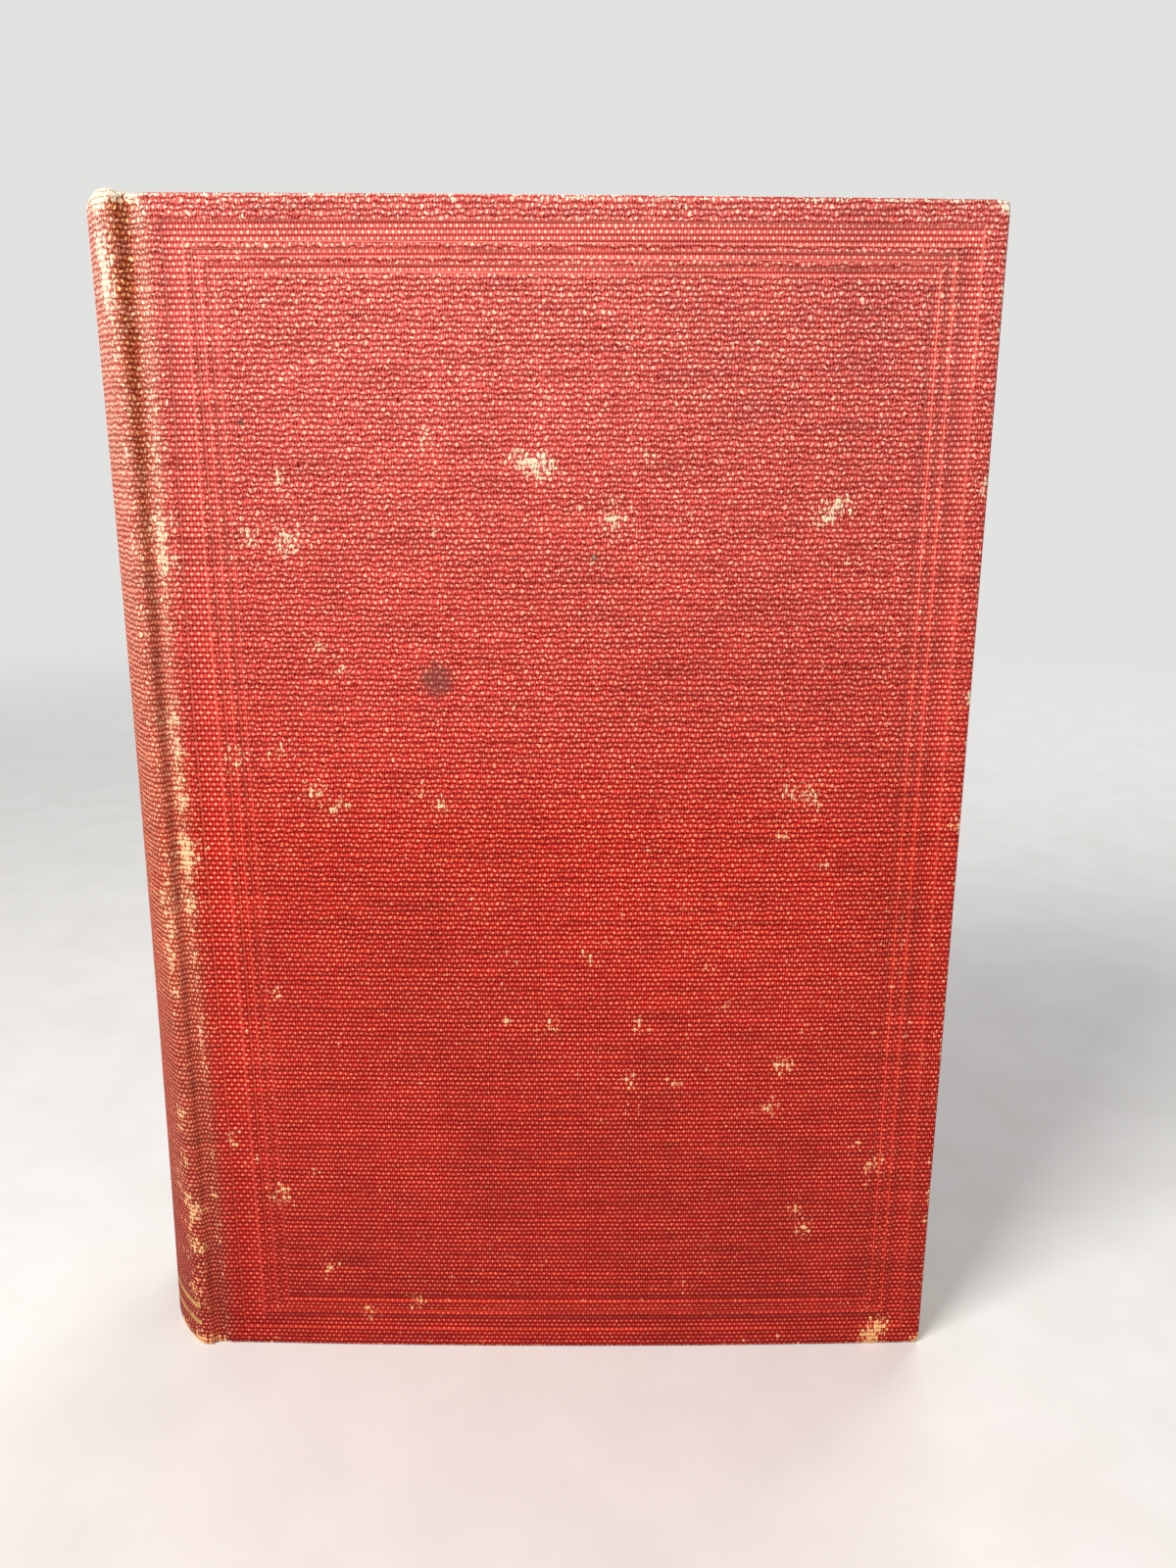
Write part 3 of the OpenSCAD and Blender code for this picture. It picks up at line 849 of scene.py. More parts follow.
class Endpaper:
    """A pastedown with the strip of the same sheet that runs down the joint to the flyleaf."""

    # Where the paper steps off the turned-in cloth, inwards from the cloth's edge.
    STEP = (0.1, 1.1)
    SKIN_T = 0.1
    # Path of the strip down the joint, from the flyleaf to the board.
    JOINT = (
        (-1.15, 17.24), (-1.5, 17.3), (-2.0, 17.5), (-2.5, 17.85), (-2.9, 18.3), (-3.15, 18.75),
        (-3.1, 19.1), (-2.6, 19.22), (-2.0, 19.22), (-1.4, 19.2), (-0.8, 19.15), (-0.3, 19.05),
        (0.2, 18.85), (0.6, 18.55), (0.95, 18.15), (1.25, 17.75), (1.7, 17.5), (2.4, 17.42),
    )

    def __init__(self, space: BookSpace) -> None:
        """Keeps the space that places the points."""
        self.space, self.sizes = space, space.sizes

    def profile(self) -> list[Pair]:
        """Path of the sheet in u and v, from the gutter to the fore-edge.

        Returns:
            The points of the path.
        """
        size = self.sizes
        near, far = (size.cover_w - size.turn_in_w - d for d in self.STEP)
        start, v = self.JOINT[-1]
        gaps = 54
        inner = [start + (far - start) * i / gaps for i in range(1, gaps + 1)]
        outer = [near + (size.fore_u - near) * i / 5 for i in range(6)]
        return [*self.JOINT, *((u, v) for u in inner + outer)]

    def rows(self) -> list[Pair]:
        """Rows as (share, shift), with lines where the paper steps off the turned-in cloth.

        Returns:
            The rows, from tail to head.
        """
        size = self.sizes
        ends = []
        for square in (size.tail_square, size.head_square):
            near, far = (size.turn_in_w - square + d for d in self.STEP)
            ends.append([near * i / 5 for i in range(6)] + [far])
        low, high = ends
        gaps = 76
        middle = [
            (i / gaps, low[-1] * (1 - i / gaps) - high[-1] * i / gaps) for i in range(1, gaps)
        ]
        return [(0.0, d) for d in low] + middle + [(1.0, -d) for d in reversed(high)]

    def sunk(self, u: float, z: float) -> float:
        """How far the paper lies below the turned-in cloth at a point of the board.

        Args:
            u: the point across.
            z: its height.

        Returns:
            The depth.
        """
        size = self.sizes
        inside = min(z, size.head_z(u) - z, size.cover_w - u) - size.turn_in_w
        window = ease(inside, *self.STEP)
        flap_low = size.tail_square + size.mull_short
        flap_high = size.cover_h - size.head_square - size.mull_short
        flap = ease(size.flap_w - u, -0.5, 0.5) * ease(z, flap_low - 0.5, flap_low + 0.5)
        flap *= ease(-z, -flap_high - 0.5, -flap_high + 0.5)
        ripple = 0.03 * soft_noise(u * 0.05, z * 0.04, 2.0)
        return ease(u, 1.8, 4) * window * (size.cloth_t - size.mull_t * flap + ripple)

    def build(self) -> Piece:
        """Lays the sheet along its path and gives it the paper's thickness.

        Returns:
            The finished piece.
        """
        size = self.sizes
        path, rows = self.profile(), self.rows()
        obj = new_grid(f"{self.space.side.word}_endpaper", len(path), len(rows))
        for vertex in obj.data.vertices:
            i, j = grid_index(vertex.co, len(path), len(rows))
            u, v = path[i]
            share, shift = rows[j]
            low = size.tail_square
            high = (size.head_z(max(u, 0)) if u > 1 else size.cover_h) - size.head_square
            z = low + (high - low) * share + shift
            vertex.co = self.space.put(u, v + self.sunk(u, z), z) if u > 0 else self.still(u, v, z)
        mesh = obj.data
        outermost = max(mesh.polygons, key=lambda p: p.center.x)
        if outermost.normal.y * self.space.side.value > 0:
            mesh.flip_normals()
        apply_modifier(obj, "SOLIDIFY", thickness=self.SKIN_T * MM, offset=-1.0)
        smooth(obj)
        return obj

    def still(self, u: float, v: float, z: float) -> Vector:
        """A point on the text block, where the spine's flare doesn't reach."""
        size = self.sizes
        return Vector(((u - size.origin_u) * MM, self.space.side.value * v * MM, z * MM))


class BoardCore:
    """A board and the gauze flap on it, following the cover's bow."""

    # Columns and rows of a slab.
    GRID = (24, 12)
    # How far the gauze's two faces lie from the board, towards the leaves.
    GAUZE = (0.22, 0.02)

    def __init__(self, space: BookSpace) -> None:
        """Keeps the space that places the points."""
        self.space, self.sizes = space, space.sizes

    def slab(self, name: str, box: Quad, v0: float, v1: float) -> Piece:
        """A bowed slab with eased edges.

        Args:
            name: the piece's name without its side.
            box: lowest u and z, then highest u and z.
            v0: inner face.
            v1: outer face.

        Returns:
            The finished piece.
        """
        across, ups = self.GRID
        obj = new_grid(f"{self.space.side.word}_{name}", across, ups)
        low_u, low_z, high_u, high_z = box
        for vertex in obj.data.vertices:
            i, j = grid_index(vertex.co, across, ups)
            u = low_u + (high_u - low_u) * i / (across - 1)
            top = high_z - self.sizes.fore_drop * max(u, 0) / self.sizes.cover_w
            vertex.co = self.space.put(u, v1, low_z + (top - low_z) * j / (ups - 1))
        if obj.data.polygons[0].normal.y * self.space.side.value < 0:
            obj.data.flip_normals()
        apply_modifier(obj, "SOLIDIFY", thickness=(v1 - v0) * MM, offset=-1.0)
        width = min(0.4, (v1 - v0) * 0.3) * MM
        apply_modifier(obj, "BEVEL", width=width, segments=2, limit_method="ANGLE")
        smooth(obj)
        return obj

    def board(self) -> Piece:
        """The board inside the cloth.

        Returns:
            The finished piece.
        """
        size = self.sizes
        edge = size.cloth_t
        box = (size.face_start, edge, size.cover_w - edge, size.cover_h - edge)
        return self.slab("board_core", box, size.board_v, size.board_v + size.board_t)

    def flap(self) -> Piece:
        """The gauze flap under the pastedown.

        Returns:
            The finished piece.
        """
        size = self.sizes
        low = size.tail_square + size.mull_short
        high = size.cover_h - size.head_square - size.mull_short
        box = (1.8, low, size.flap_w, high)
        inner, outer = (size.board_v - gap for gap in self.GAUZE)
        return self.slab("gauze_flap", box, inner, outer)


class Tree:
    """Short ways to add shader nodes to a tree."""

    def __init__(self, tree: NodeTree) -> None:
        """Starts on a material's or a group's node tree."""
        self.tree = tree
        self.count = 0

    def add(self, kind: str, inputs: dict | None = None, **settings: object) -> Node:
        """Adds a node.

        Args:
            kind: the node's type, without the word ShaderNode.
            inputs: values or sockets for its inputs, by name or number.
            settings: its own settings.

        Returns:
            The node.
        """
        full = kind if kind.startswith("NodeGroup") else f"ShaderNode{kind}"
        node = self.tree.nodes.new(full)
        node.location = (self.count % 12 * 180, -(self.count // 12) * 240)
        self.count += 1
        for name, value in settings.items():
            setattr(node, name, value)
        for key, value in (inputs or {}).items():
            self.feed(node.inputs[key], value)
        return node

    def feed(self, socket: Socket, value: object) -> None:
        """Sets a socket, or links another socket to it.

        Args:
            socket: the socket.
            value: a constant or another socket.
        """
        if isinstance(value, Socket):
            self.tree.links.new(value, socket)
        else:
            socket.default_value = value

    def calc(
        self, op: str, a: object, b: object = 0.0, c: object = 0.0, clamp: bool = False
    ) -> Socket:
        """A Math node's result."""
        node = self.add("Math", {0: a, 1: b, 2: c}, operation=op, use_clamp=clamp)
        return node.outputs[0]

    def mul(self, a: object, b: object, clamp: bool = False) -> Socket:
        """Two values multiplied."""
        return self.calc("MULTIPLY", a, b, clamp=clamp)

    def affine(self, value: object, scale: object, shift: object, clamp: bool = False) -> Socket:
        """A value times a scale, plus a shift."""
        return self.calc("MULTIPLY_ADD", value, scale, shift, clamp)

    def mask(self, name: str) -> Socket:
        """The value of one of the piece's own attributes."""
        return self.add("Attribute", attribute_name=name).outputs["Fac"]

    def remap(
        self, value: object, low: float, high: float, a: float = 0.0, b: float = 1.0
    ) -> Socket:
        """Smooth change from a to b as the value goes from low to high."""
        inputs = {"Value": value, "From Min": low, "From Max": high, "To Min": a, "To Max": b}
        return self.add("MapRange", inputs, interpolation_type="SMOOTHSTEP").outputs[0]

    def mix(self, share: object, a: object, b: object, blend: str = "MIX") -> Socket:
        """A colour between a and b.

        Args:
            share: how much of b.
            a: one colour.
            b: the other.
            blend: the way they are mixed.

        Returns:
            The colour.
        """
        node = self.add("Mix", data_type="RGBA", blend_type=blend)
        self.feed(node.inputs[0], share)
        self.feed(node.inputs[6], a)
        self.feed(node.inputs[7], b)
        return node.outputs[2]

    def vector(self, x: object, y: object, z: object = 0.0) -> Socket:
        """A vector of three values."""
        return self.add("CombineXYZ", {0: x, 1: y, 2: z}).outputs[0]

    def parts(self, vector: object) -> tuple[Socket, ...]:
        """The three values of a vector."""
        return tuple(self.add("SeparateXYZ", {0: vector}).outputs)

    def vector_calc(self, op: str, a: object, b: object) -> Socket:
        """A VectorMath node's result."""
        return self.add("VectorMath", {0: a, 1: b}, operation=op).outputs[0]

    def scaled(self, vector: object, scale: tuple[float, float, float]) -> Socket:
        """A vector times a constant one."""
        return self.vector_calc("MULTIPLY", vector, scale)

    def object_place(self) -> Socket:
        """Object coordinates, in metres."""
        return self.add("TexCoord").outputs["Object"]

    def noise(
        self, vector: object, scale: object, detail: float = 2.0, rough: float = 0.5
    ) -> Socket:
        """A noise texture's value."""
        inputs = {"Vector": vector, "Scale": scale, "Detail": detail, "Roughness": rough}
        return self.add("TexNoise", inputs).outputs[0]

    def group(self, group: NodeTree, inputs: dict) -> Node:
        """Places a node group.

        Args:
            group: the group.
            inputs: values or sockets for its inputs.

        Returns:
            The group's node.
        """
        node = self.tree.nodes.new("ShaderNodeGroup")
        node.node_tree = group
        for key, value in inputs.items():
            self.feed(node.inputs[key], value)
        return node

    def tone(self, place: object, scale: float, depth: float) -> Socket:
        """The uneven tone group's value."""
        inputs = {"Map": place, "Scale": scale, "Depth": depth}
        return self.group(GROUPS["tone"], inputs).outputs[0]

    def weave(self, place: object, slack: object, warp: float, weft: float) -> Sockets:
        """The plain weave group's outputs."""
        inputs = {"Map": place, "Slack": slack, "Warp": warp, "Weft": weft}
        return self.group(GROUPS["weave"], inputs).outputs


def new_group(
    name: str, inputs: dict[str, str], outputs: dict[str, str]
) -> tuple[Tree, Sockets, Sockets]:
    """An empty shader node group.

    Args:
        name: the group's name.
        inputs: socket names and kinds.
        outputs: socket names and kinds.

    Returns:
        Its tree, the sockets that come in and those that go out.
    """
    group = bpy.data.node_groups.new(name, "ShaderNodeTree")
    for way, sockets in (("INPUT", inputs), ("OUTPUT", outputs)):
        for socket, kind in sockets.items():
            group.interface.new_socket(name=socket, in_out=way, socket_type=f"NodeSocket{kind}")
    tree = Tree(group)
    return tree, tree.add("NodeGroupInput").outputs, tree.add("NodeGroupOutput").inputs


def plain_weave_group() -> NodeTree:
    """Plain weave of thin upright threads and thick level ones, on a map in millimetres.

    Returns:
        The group, with height, thread tops, gaps and a value for each level thread.
    """
    t, given, out = new_group(
        "plain_weave",
        {"Map": "Vector", "Slack": "Float", "Warp": "Float", "Weft": "Float"},
        {"Height": "Float", "Tops": "Float", "Gaps": "Float", "Thread": "Float", "Cell": "Vector"},
    )
    sway = t.add("TexNoise", {"Vector": given["Map"], "Scale": 0.75, "Detail": 2.0}).outputs[1]
    centred = t.vector_calc("SUBTRACT", sway, (0.5, 0.5, 0.5))
    slack = t.vector(given["Slack"], given["Slack"])
    shift = t.vector_calc("MULTIPLY", centred, slack)
    moved = t.vector_calc("ADD", given["Map"], shift)
    x, y, _ = t.parts(moved)
    a = t.calc("DIVIDE", x, given["Warp"])
    b = t.calc("DIVIDE", y, given["Weft"])
    column, row = t.calc("FLOOR", a), t.calc("FLOOR", b)
    fa, fb = t.calc("FRACT", a), t.calc("FRACT", b)

    def hump(value: object) -> Socket:
        """Rounded cross-section of a thread."""
        centre = t.affine(value, 2.0, -1.0)
        return t.calc("SUBTRACT", 1.0, t.mul(centre, centre))

    def over(along: object, other: object) -> Socket:
        """Wave of a thread as it goes over and under the other ones."""
        phase = t.calc("ADD", t.calc("SUBTRACT", along, 0.5), other)
        return t.calc("COSINE", t.mul(phase, math.pi))

    weft_wave = t.affine(over(a, row), 0.5, 0.5)
    warp_wave = t.affine(over(b, column), -0.5, 0.5)
    weft = t.mul(hump(fb), t.affine(weft_wave, 0.72, 0.28))
    warp = t.mul(hump(fa), t.affine(warp_wave, 0.45, 0.25))
    height = t.calc("MAXIMUM", weft, warp)
    tops = t.mul(t.mul(hump(fb), hump(fb)), weft_wave)
    inputs = {"Vector": t.vector(column, row)}
    cell = t.add("TexWhiteNoise", inputs, noise_dimensions="2D").outputs[0]
    strand = t.noise(t.vector(t.mul(x, 0.06), t.mul(row, 0.7)), 1.0, 1.0)
    t.feed(out["Height"], height)
    t.feed(out["Tops"], t.mul(t.remap(tops, 0.44, 0.92), t.affine(cell, 1.0, 0.4)))
    t.feed(out["Gaps"], t.remap(height, 0.71, 0.2))
    centre_x = t.mul(t.calc("ADD", column, 0.5), given["Warp"])
    centre_y = t.mul(t.calc("ADD", row, 0.5), given["Weft"])
    t.feed(out["Cell"], t.vector(centre_x, centre_y))
    t.feed(out["Thread"], strand)
    return t.tree


def flecks_group() -> NodeTree:
    """Ragged rubbed-through flecks, denser where the given amount is high.

    Returns:
        The group, with one mask.
    """
    sockets = {"Map": "Vector", "Amount": "Float", "Scale": "Float"}
    t, given, out = new_group("rubbed_flecks", sockets, {"Mask": "Float"})
    stretched = t.scaled(given["Map"], (1.25, 0.7, 1.0))
    level = t.affine(t.noise(stretched, given["Scale"], 4.0, 0.7), 2.6, -1.3)
    t.feed(out["Mask"], t.remap(t.calc("ADD", level, given["Amount"]), 0.56, 0.7))
    return t.tree


def tone_group() -> NodeTree:
    """Soft uneven tone.

    Returns:
        The group, with a value about 1.
    """
    sockets = {"Map": "Vector", "Scale": "Float", "Depth": "Float"}
    t, given, out = new_group("uneven_tone", sockets, {"Tone": "Float"})
    centred = t.calc("SUBTRACT", t.noise(given["Map"], given["Scale"], 4.0), 0.5)
    t.feed(out["Tone"], t.affine(centred, given["Depth"], 1.0))
    return t.tree


def spot_group() -> NodeTree:
    """A round stain with a ragged edge, on a map in millimetres.

    Returns:
        The group, with one mask.
    """
    sockets = {"Map": "Vector", "Centre": "Vector", "Radius": "Float"}
    t, given, out = new_group("ragged_spot", sockets, {"Mask": "Float"})
    gap = t.add("VectorMath", {0: given["Map"], 1: given["Centre"]}, operation="DISTANCE")
    ragged = t.affine(t.noise(given["Map"], 0.7, 3.0, 0.6), 1.3, -0.65)
    far = t.calc("ADD", t.calc("DIVIDE", gap.outputs["Value"], given["Radius"]), ragged)
    t.feed(out["Mask"], t.remap(far, 1.05, 0.35))
    return t.tree


def srgb(r: int, g: int, b: int) -> Quad:
    """A linear colour from three screen values."""
    parts = (c / 255 for c in (r, g, b))
    return (*[((c + 0.055) / 1.055) ** 2.4 if c > 10 / 255 else c / 12.92 for c in parts], 1.0)


@dataclass(frozen=True)
class Finish:
    """What every finish shares."""

    name: str
    roughness: float = 0.8
    sheen: float = 0.0

    def start(self) -> tuple[Material, Tree, Node]:
        """A new material, its tree and its shader.

        Returns:
            All three.
        """
        material = bpy.data.materials.new(self.name)
        material.use_nodes = True
        tree = Tree(material.node_tree)
        shader = material.node_tree.nodes["Principled BSDF"]
        shader.inputs["Roughness"].default_value = self.roughness
        shader.inputs["Sheen Weight"].default_value = self.sheen
        shader.inputs["Specular IOR Level"].default_value = 0.1
        return material, tree, shader

    def end(self, t: Tree, shader: Node, colour: object, height: object, bump: Pair) -> None:
        """Feeds a finish's colour and relief to its shader.

        Args:
            t: the material's tree.
            shader: its shader.
            colour: the colour.
            height: the relief.
            bump: the relief's strength and its height in metres.
        """
        t.feed(shader.inputs["Base Color"], colour)
        inputs = {"Strength": bump[0], "Distance": bump[1], "Height": height}
        t.feed(shader.inputs["Normal"], t.add("Bump", inputs).outputs[0])


@dataclass(frozen=True)
class BookCloth(Finish):
    """Coarse dyed cloth with rubbed threads, faded on the spine, paler to the head partly by fading and
    partly by painted sheen, with painted shade in its hollows and groove.
    """

    warp: float = 0.53
    weft: float = 1.02
    # Each tint goes foot, middle, head; the head ones are paler partly from fading and partly as painted
    # sheen of light from above.
    thread: tuple = (srgb(192, 36, 31), srgb(226, 50, 40), srgb(243, 112, 102))
    # Gap tints: deeper dye between the threads, darkened further as painted shade in the weave's hollows.
    gap: tuple = (srgb(92, 0, 0), srgb(96, 0, 0), srgb(132, 24, 22))
    # Top tints: rubbed thread tops, lightened further as a painted highlight where they catch the light.
    top: tuple = (srgb(244, 120, 86), srgb(255, 158, 116), srgb(255, 214, 188))
    faded: tuple = (srgb(158, 40, 36), srgb(214, 98, 74), srgb(240, 152, 132))
    faded_gap: tuple = (srgb(84, 4, 8), srgb(112, 20, 12), srgb(150, 58, 44))
    faded_top: tuple = (srgb(236, 122, 90), srgb(255, 196, 148), srgb(255, 238, 214))
    # Groove tints: a brown stain under painted shade, darkest at the head; at the foot they are lighter,
    # painted light against the groove's shade.
    groove_stain_and_shade: tuple = (srgb(240, 80, 56), srgb(240, 112, 88), srgb(206, 92, 52))
    groove_stain_and_shade_gap: tuple = (srgb(128, 8, 8), srgb(150, 30, 22), srgb(82, 16, 4))
    groove_stain_and_shade_top: tuple = (srgb(255, 168, 120), srgb(255, 206, 156), srgb(255, 226, 148))
    rubbed: tuple = (srgb(255, 196, 132), srgb(255, 212, 162), srgb(255, 238, 212))
    gilt: tuple = srgb(208, 170, 88)
    gilt_rules: tuple = (5.7, 9.9)
    gilt_half: float = 0.62
    spine_half: float = 24.3
    high: float = 236.0
    to_threads: float = 0.7
    stain: tuple = srgb(88, 66, 60)
    stains: tuple = ((80.6, 150.0, 4.2, 0.6), (110.6, 173.0, 0.9, 0.6), (46.6, 197.0, 0.9, 0.7))

    def graded(self, t: Tree, up: object, tints: tuple) -> Socket:
        """A colour that changes from the foot over the middle to the head; the tints carry painted sheen at
        the head and painted shade in the groove.
        """
        low = t.mix(t.mul(up, 2.0, clamp=True), tints[0], tints[1])
        return t.mix(t.affine(up, 2.0, -1.0, clamp=True), low, tints[2])

    def make(self) -> Material:
        """Builds the material.

        Returns:
            The cloth, on the piece's own map of its threads.
        """
        material, t, shader = self.start()
        uv = t.add("UVMap", uv_map="threads").outputs[0]
        masks = ("rub_and_lip_highlight", "press", "fade", "groove_stain_and_shade", "kept")
        rub_and_lip_highlight, press, fade, groove_stain_and_shade_mask, kept = (t.mask(name) for name in masks)
        x, y, _ = t.parts(uv)
        up = t.calc("DIVIDE", y, self.high)
        slack = t.mul(t.remap(y, 30.0, 190.0, 0.5, 1.5), t.calc("SUBTRACT", 1.0, press, clamp=True))
        weave = t.weave(uv, slack, self.warp, self.weft)
        cells = t.add("Mix", data_type="VECTOR")
        for place, value in ((0, self.to_threads), (4, uv), (5, weave["Cell"])):
            t.feed(cells.inputs[place], value)
        inputs = {"Map": cells.outputs[1], "Amount": rub_and_lip_highlight, "Scale": 1.25}
        fleck = t.group(GROUPS["flecks"], inputs).outputs[0]
        broad = t.tone(uv, 0.016, 0.45)
        level = t.tone(t.scaled(uv, (0.02, 0.45, 1)), 1.0, 0.2)
        upright = t.tone(t.scaled(uv, (0.35, 0.012, 1)), 1.0, 0.3)
        patch = t.mul(fade, t.remap(t.noise(uv, 0.12, 3.0), 0.25, 0.6, 0.6, 1.0))
        # The groove's stain and painted shade, patchy, and strongest towards the head.
        groove_stain_and_shade_mask = t.mul(groove_stain_and_shade_mask, t.remap(t.noise(uv, 0.2, 2.0), 0.3, 0.55, 0.45, 1.0))
        groove_stain_and_shade_mask = t.mul(groove_stain_and_shade_mask, t.remap(y, 150.0, 222.0, 0.62, 1.25), clamp=True)
        tints = []
        for new, old, stained_and_shaded in (
            (self.thread, self.faded, self.groove_stain_and_shade),
            (self.gap, self.faded_gap, self.groove_stain_and_shade_gap),
            (self.top, self.faded_top, self.groove_stain_and_shade_top),
        ):
            worn_tint = t.mix(patch, self.graded(t, up, new), self.graded(t, up, old))
            tinted = t.mix(groove_stain_and_shade_mask, worn_tint, self.graded(t, up, stained_and_shaded))
            tints.append(t.mix(kept, tinted, new[0]))
        base, gap, top = tints
        strand = t.affine(weave["Thread"], 0.8, 0.6)
        tone = t.mul(t.mul(broad, level), t.mul(upright, strand))
        # Darker in the weave's hollows: deeper dye, and painted shade between the threads.
        colour = t.mix(weave["Gaps"], base, gap)
        # Paler thread tops: rubbed dye, and a painted highlight where the tops catch the light.
        tops = t.mul(weave["Tops"], t.affine(rub_and_lip_highlight, 0.9, 0.95), clamp=True)
        colour = t.mix(tops, colour, top)
        wall = t.mask("wall")
        # Painted sheen: the stamped walls are lightened towards the tops' colour, as the stretched threads
        # shine.
        colour = t.mix(wall, colour, t.mix(0.25, base, top))
        colour = t.mix(1.0, colour, t.vector(tone, tone, tone), "MULTIPLY")
        gilt = self.gilt_mask(t, x, y, weave["Height"])
        colour = t.mix(gilt, colour, self.gilt)
        worn = t.mul(fleck, t.remap(weave["Height"], 0.1, 0.6, 0.25, 1.0), clamp=True)
        bare = t.mix(t.remap(worn, 0.35, 0.95), top, self.graded(t, up, self.rubbed))
        colour = t.mix(worn, colour, bare)
        for place_x, place_y, radius, depth in self.stains:
            inputs = {"Map": uv, "Centre": (place_x, place_y, 0.0), "Radius": radius}
            spot = t.group(GROUPS["spot"], inputs).outputs[0]
            colour = t.mix(t.mul(spot, depth), colour, self.stain)
        t.feed(shader.inputs["Metallic"], t.mul(gilt, 0.35))
        t.feed(shader.inputs["Roughness"], t.affine(gilt, -0.35, self.roughness))
        flat = t.calc("SUBTRACT", t.affine(press, -0.5, 1.0), t.mul(wall, 0.5), clamp=True)
        self.end(t, shader, colour, t.mul(weave["Height"], flat), (1.0, 0.0003))
        return material

    def gilt_mask(self, t: Tree, x: object, y: object, height: object) -> Socket:
        """Two worn gilt rules across the foot of the spine.

        Args:
            t: the material's tree.
            x: distance from mid-spine along the cloth.
            y: height on the cloth.
            height: the weave's relief.

        Returns:
            How much gilt is left.
        """
        lines = [t.calc("COMPARE", y, middle, self.gilt_half) for middle in self.gilt_rules]
        on_spine = t.calc("LESS_THAN", t.calc("ABSOLUTE", x), self.spine_half)
        worn = t.remap(t.noise(t.vector(x, y), 0.5, 3.0), 0.24, 0.46)
        kept = t.mul(worn, t.affine(height, 0.6, 0.5))
        return t.mul(t.mul(t.calc("ADD", *lines), on_spine), kept, clamp=True)


@dataclass(frozen=True)
class LeafEdges(Finish):
    """Edges of aged leaves: fine lines that follow the block, dust at the head."""

    light: tuple = srgb(224, 207, 172)
    dark: tuple = srgb(166, 138, 98)
    dust: tuple = srgb(132, 112, 88)
    head: Pair = (0.2315, 0.2322)

    def make(self) -> Material:
        """Builds the material.

        Returns:
            The leaf edges, on Object coordinates.
        """
        material, t, shader = self.start()
        place = t.object_place()
        x, y, z = t.parts(place)
        spread = t.remap(x, -0.0720, -0.0600, 1.13, 1.0)
        leaf = t.mul(t.calc("DIVIDE", y, spread), 1000.0)
        lines = t.noise(t.vector(t.mul(x, 12.0), t.mul(leaf, 3.6), t.mul(z, 12.0)), 1.0, 3.0, 0.7)
        sections = t.calc("ABSOLUTE", t.calc("SINE", t.mul(leaf, 1.45)))
        groove = t.remap(sections, 0.22, 0.0)
        blots = t.remap(t.noise(place, 95.0, 4.0, 0.6), 0.52, 0.72)
        colour = t.mix(t.remap(lines, 0.34, 0.66), self.dark, self.light)
        colour = t.mix(t.mul(groove, 0.4), colour, self.dark)
        colour = t.mix(t.mul(blots, 0.35), colour, self.dark)
        top = t.remap(z, *self.head)
        colour = t.mix(t.mul(top, 0.38), colour, self.dust)
        height = t.calc("SUBTRACT", lines, t.mul(groove, 0.6))
        self.end(t, shader, colour, height, (0.9, 0.0002))
        return material


@dataclass(frozen=True)
class Paper(Finish):
    """Plain aged paper with foxing, darker round its edges."""

    tint: tuple = srgb(226, 209, 176)
    spot: tuple = srgb(176, 128, 78)
    fibre: float = 900.0

    def make(self) -> Material:
        """Builds the material.

        Returns:
            The paper, on Object coordinates.
        """
        material, t, shader = self.start()
        place = t.object_place()
        x, _, z = t.parts(place)
        grain = t.noise(place, self.fibre, 3.0, 0.6)
        foxing = t.remap(t.noise(place, 160.0, 5.0, 0.7), 0.62, 0.74)
        cloud = t.tone(place, 22.0, 0.3)
        fore = t.remap(x, 0.055, 0.082)
        ends = t.remap(t.calc("ABSOLUTE", t.calc("SUBTRACT", z, 0.1177)), 0.098, 0.118)
        side = t.calc("MAXIMUM", fore, ends)
        colour = t.mix(1.0, self.tint, t.vector(cloud, cloud, cloud), "MULTIPLY")
        colour = t.mix(t.mul(side, 0.3), colour, self.spot)
        colour = t.mix(t.mul(foxing, 0.5), colour, self.spot)
        self.end(t, shader, colour, grain, (0.35, 0.0001))
        return material


@dataclass(frozen=True)
class Gauze(Finish):
    """Open cotton gauze."""

    thread: tuple = srgb(214, 203, 172)
    glue: tuple = srgb(150, 120, 78)
    pitch: float = 0.9

    def make(self) -> Material:
        """Builds the material.

        Returns:
            The gauze, on Object coordinates.
        """
        material, t, shader = self.start()
        place = t.object_place()
        x, y, z = t.parts(place)
        flat = t.vector(t.mul(t.calc("ADD", x, y), 1000.0), t.mul(z, 1000.0))
        weave = t.weave(flat, 0.3, self.pitch, self.pitch)
        colour = t.mix(weave["Gaps"], self.thread, self.glue)
        self.end(t, shader, colour, weave["Height"], (0.6, 0.0001))
        return material


@dataclass(frozen=True)
class Pulp(Finish):
    """Pressed board or card with coarse fibres."""

    tint: tuple = srgb(196, 172, 118)
    fleck: tuple = srgb(140, 112, 70)

    def make(self) -> Material:
        """Builds the material.

        Returns:
            The board, on Object coordinates.
        """
        material, t, shader = self.start()
        place = t.object_place()
        fibres = t.noise(t.scaled(place, (1.0, 3.0, 1.0)), 700.0, 4.0, 0.7)
        colour = t.mix(t.remap(fibres, 0.4, 0.62), self.fleck, self.tint)
        self.end(t, shader, colour, fibres, (0.6, 0.0002))
        return material


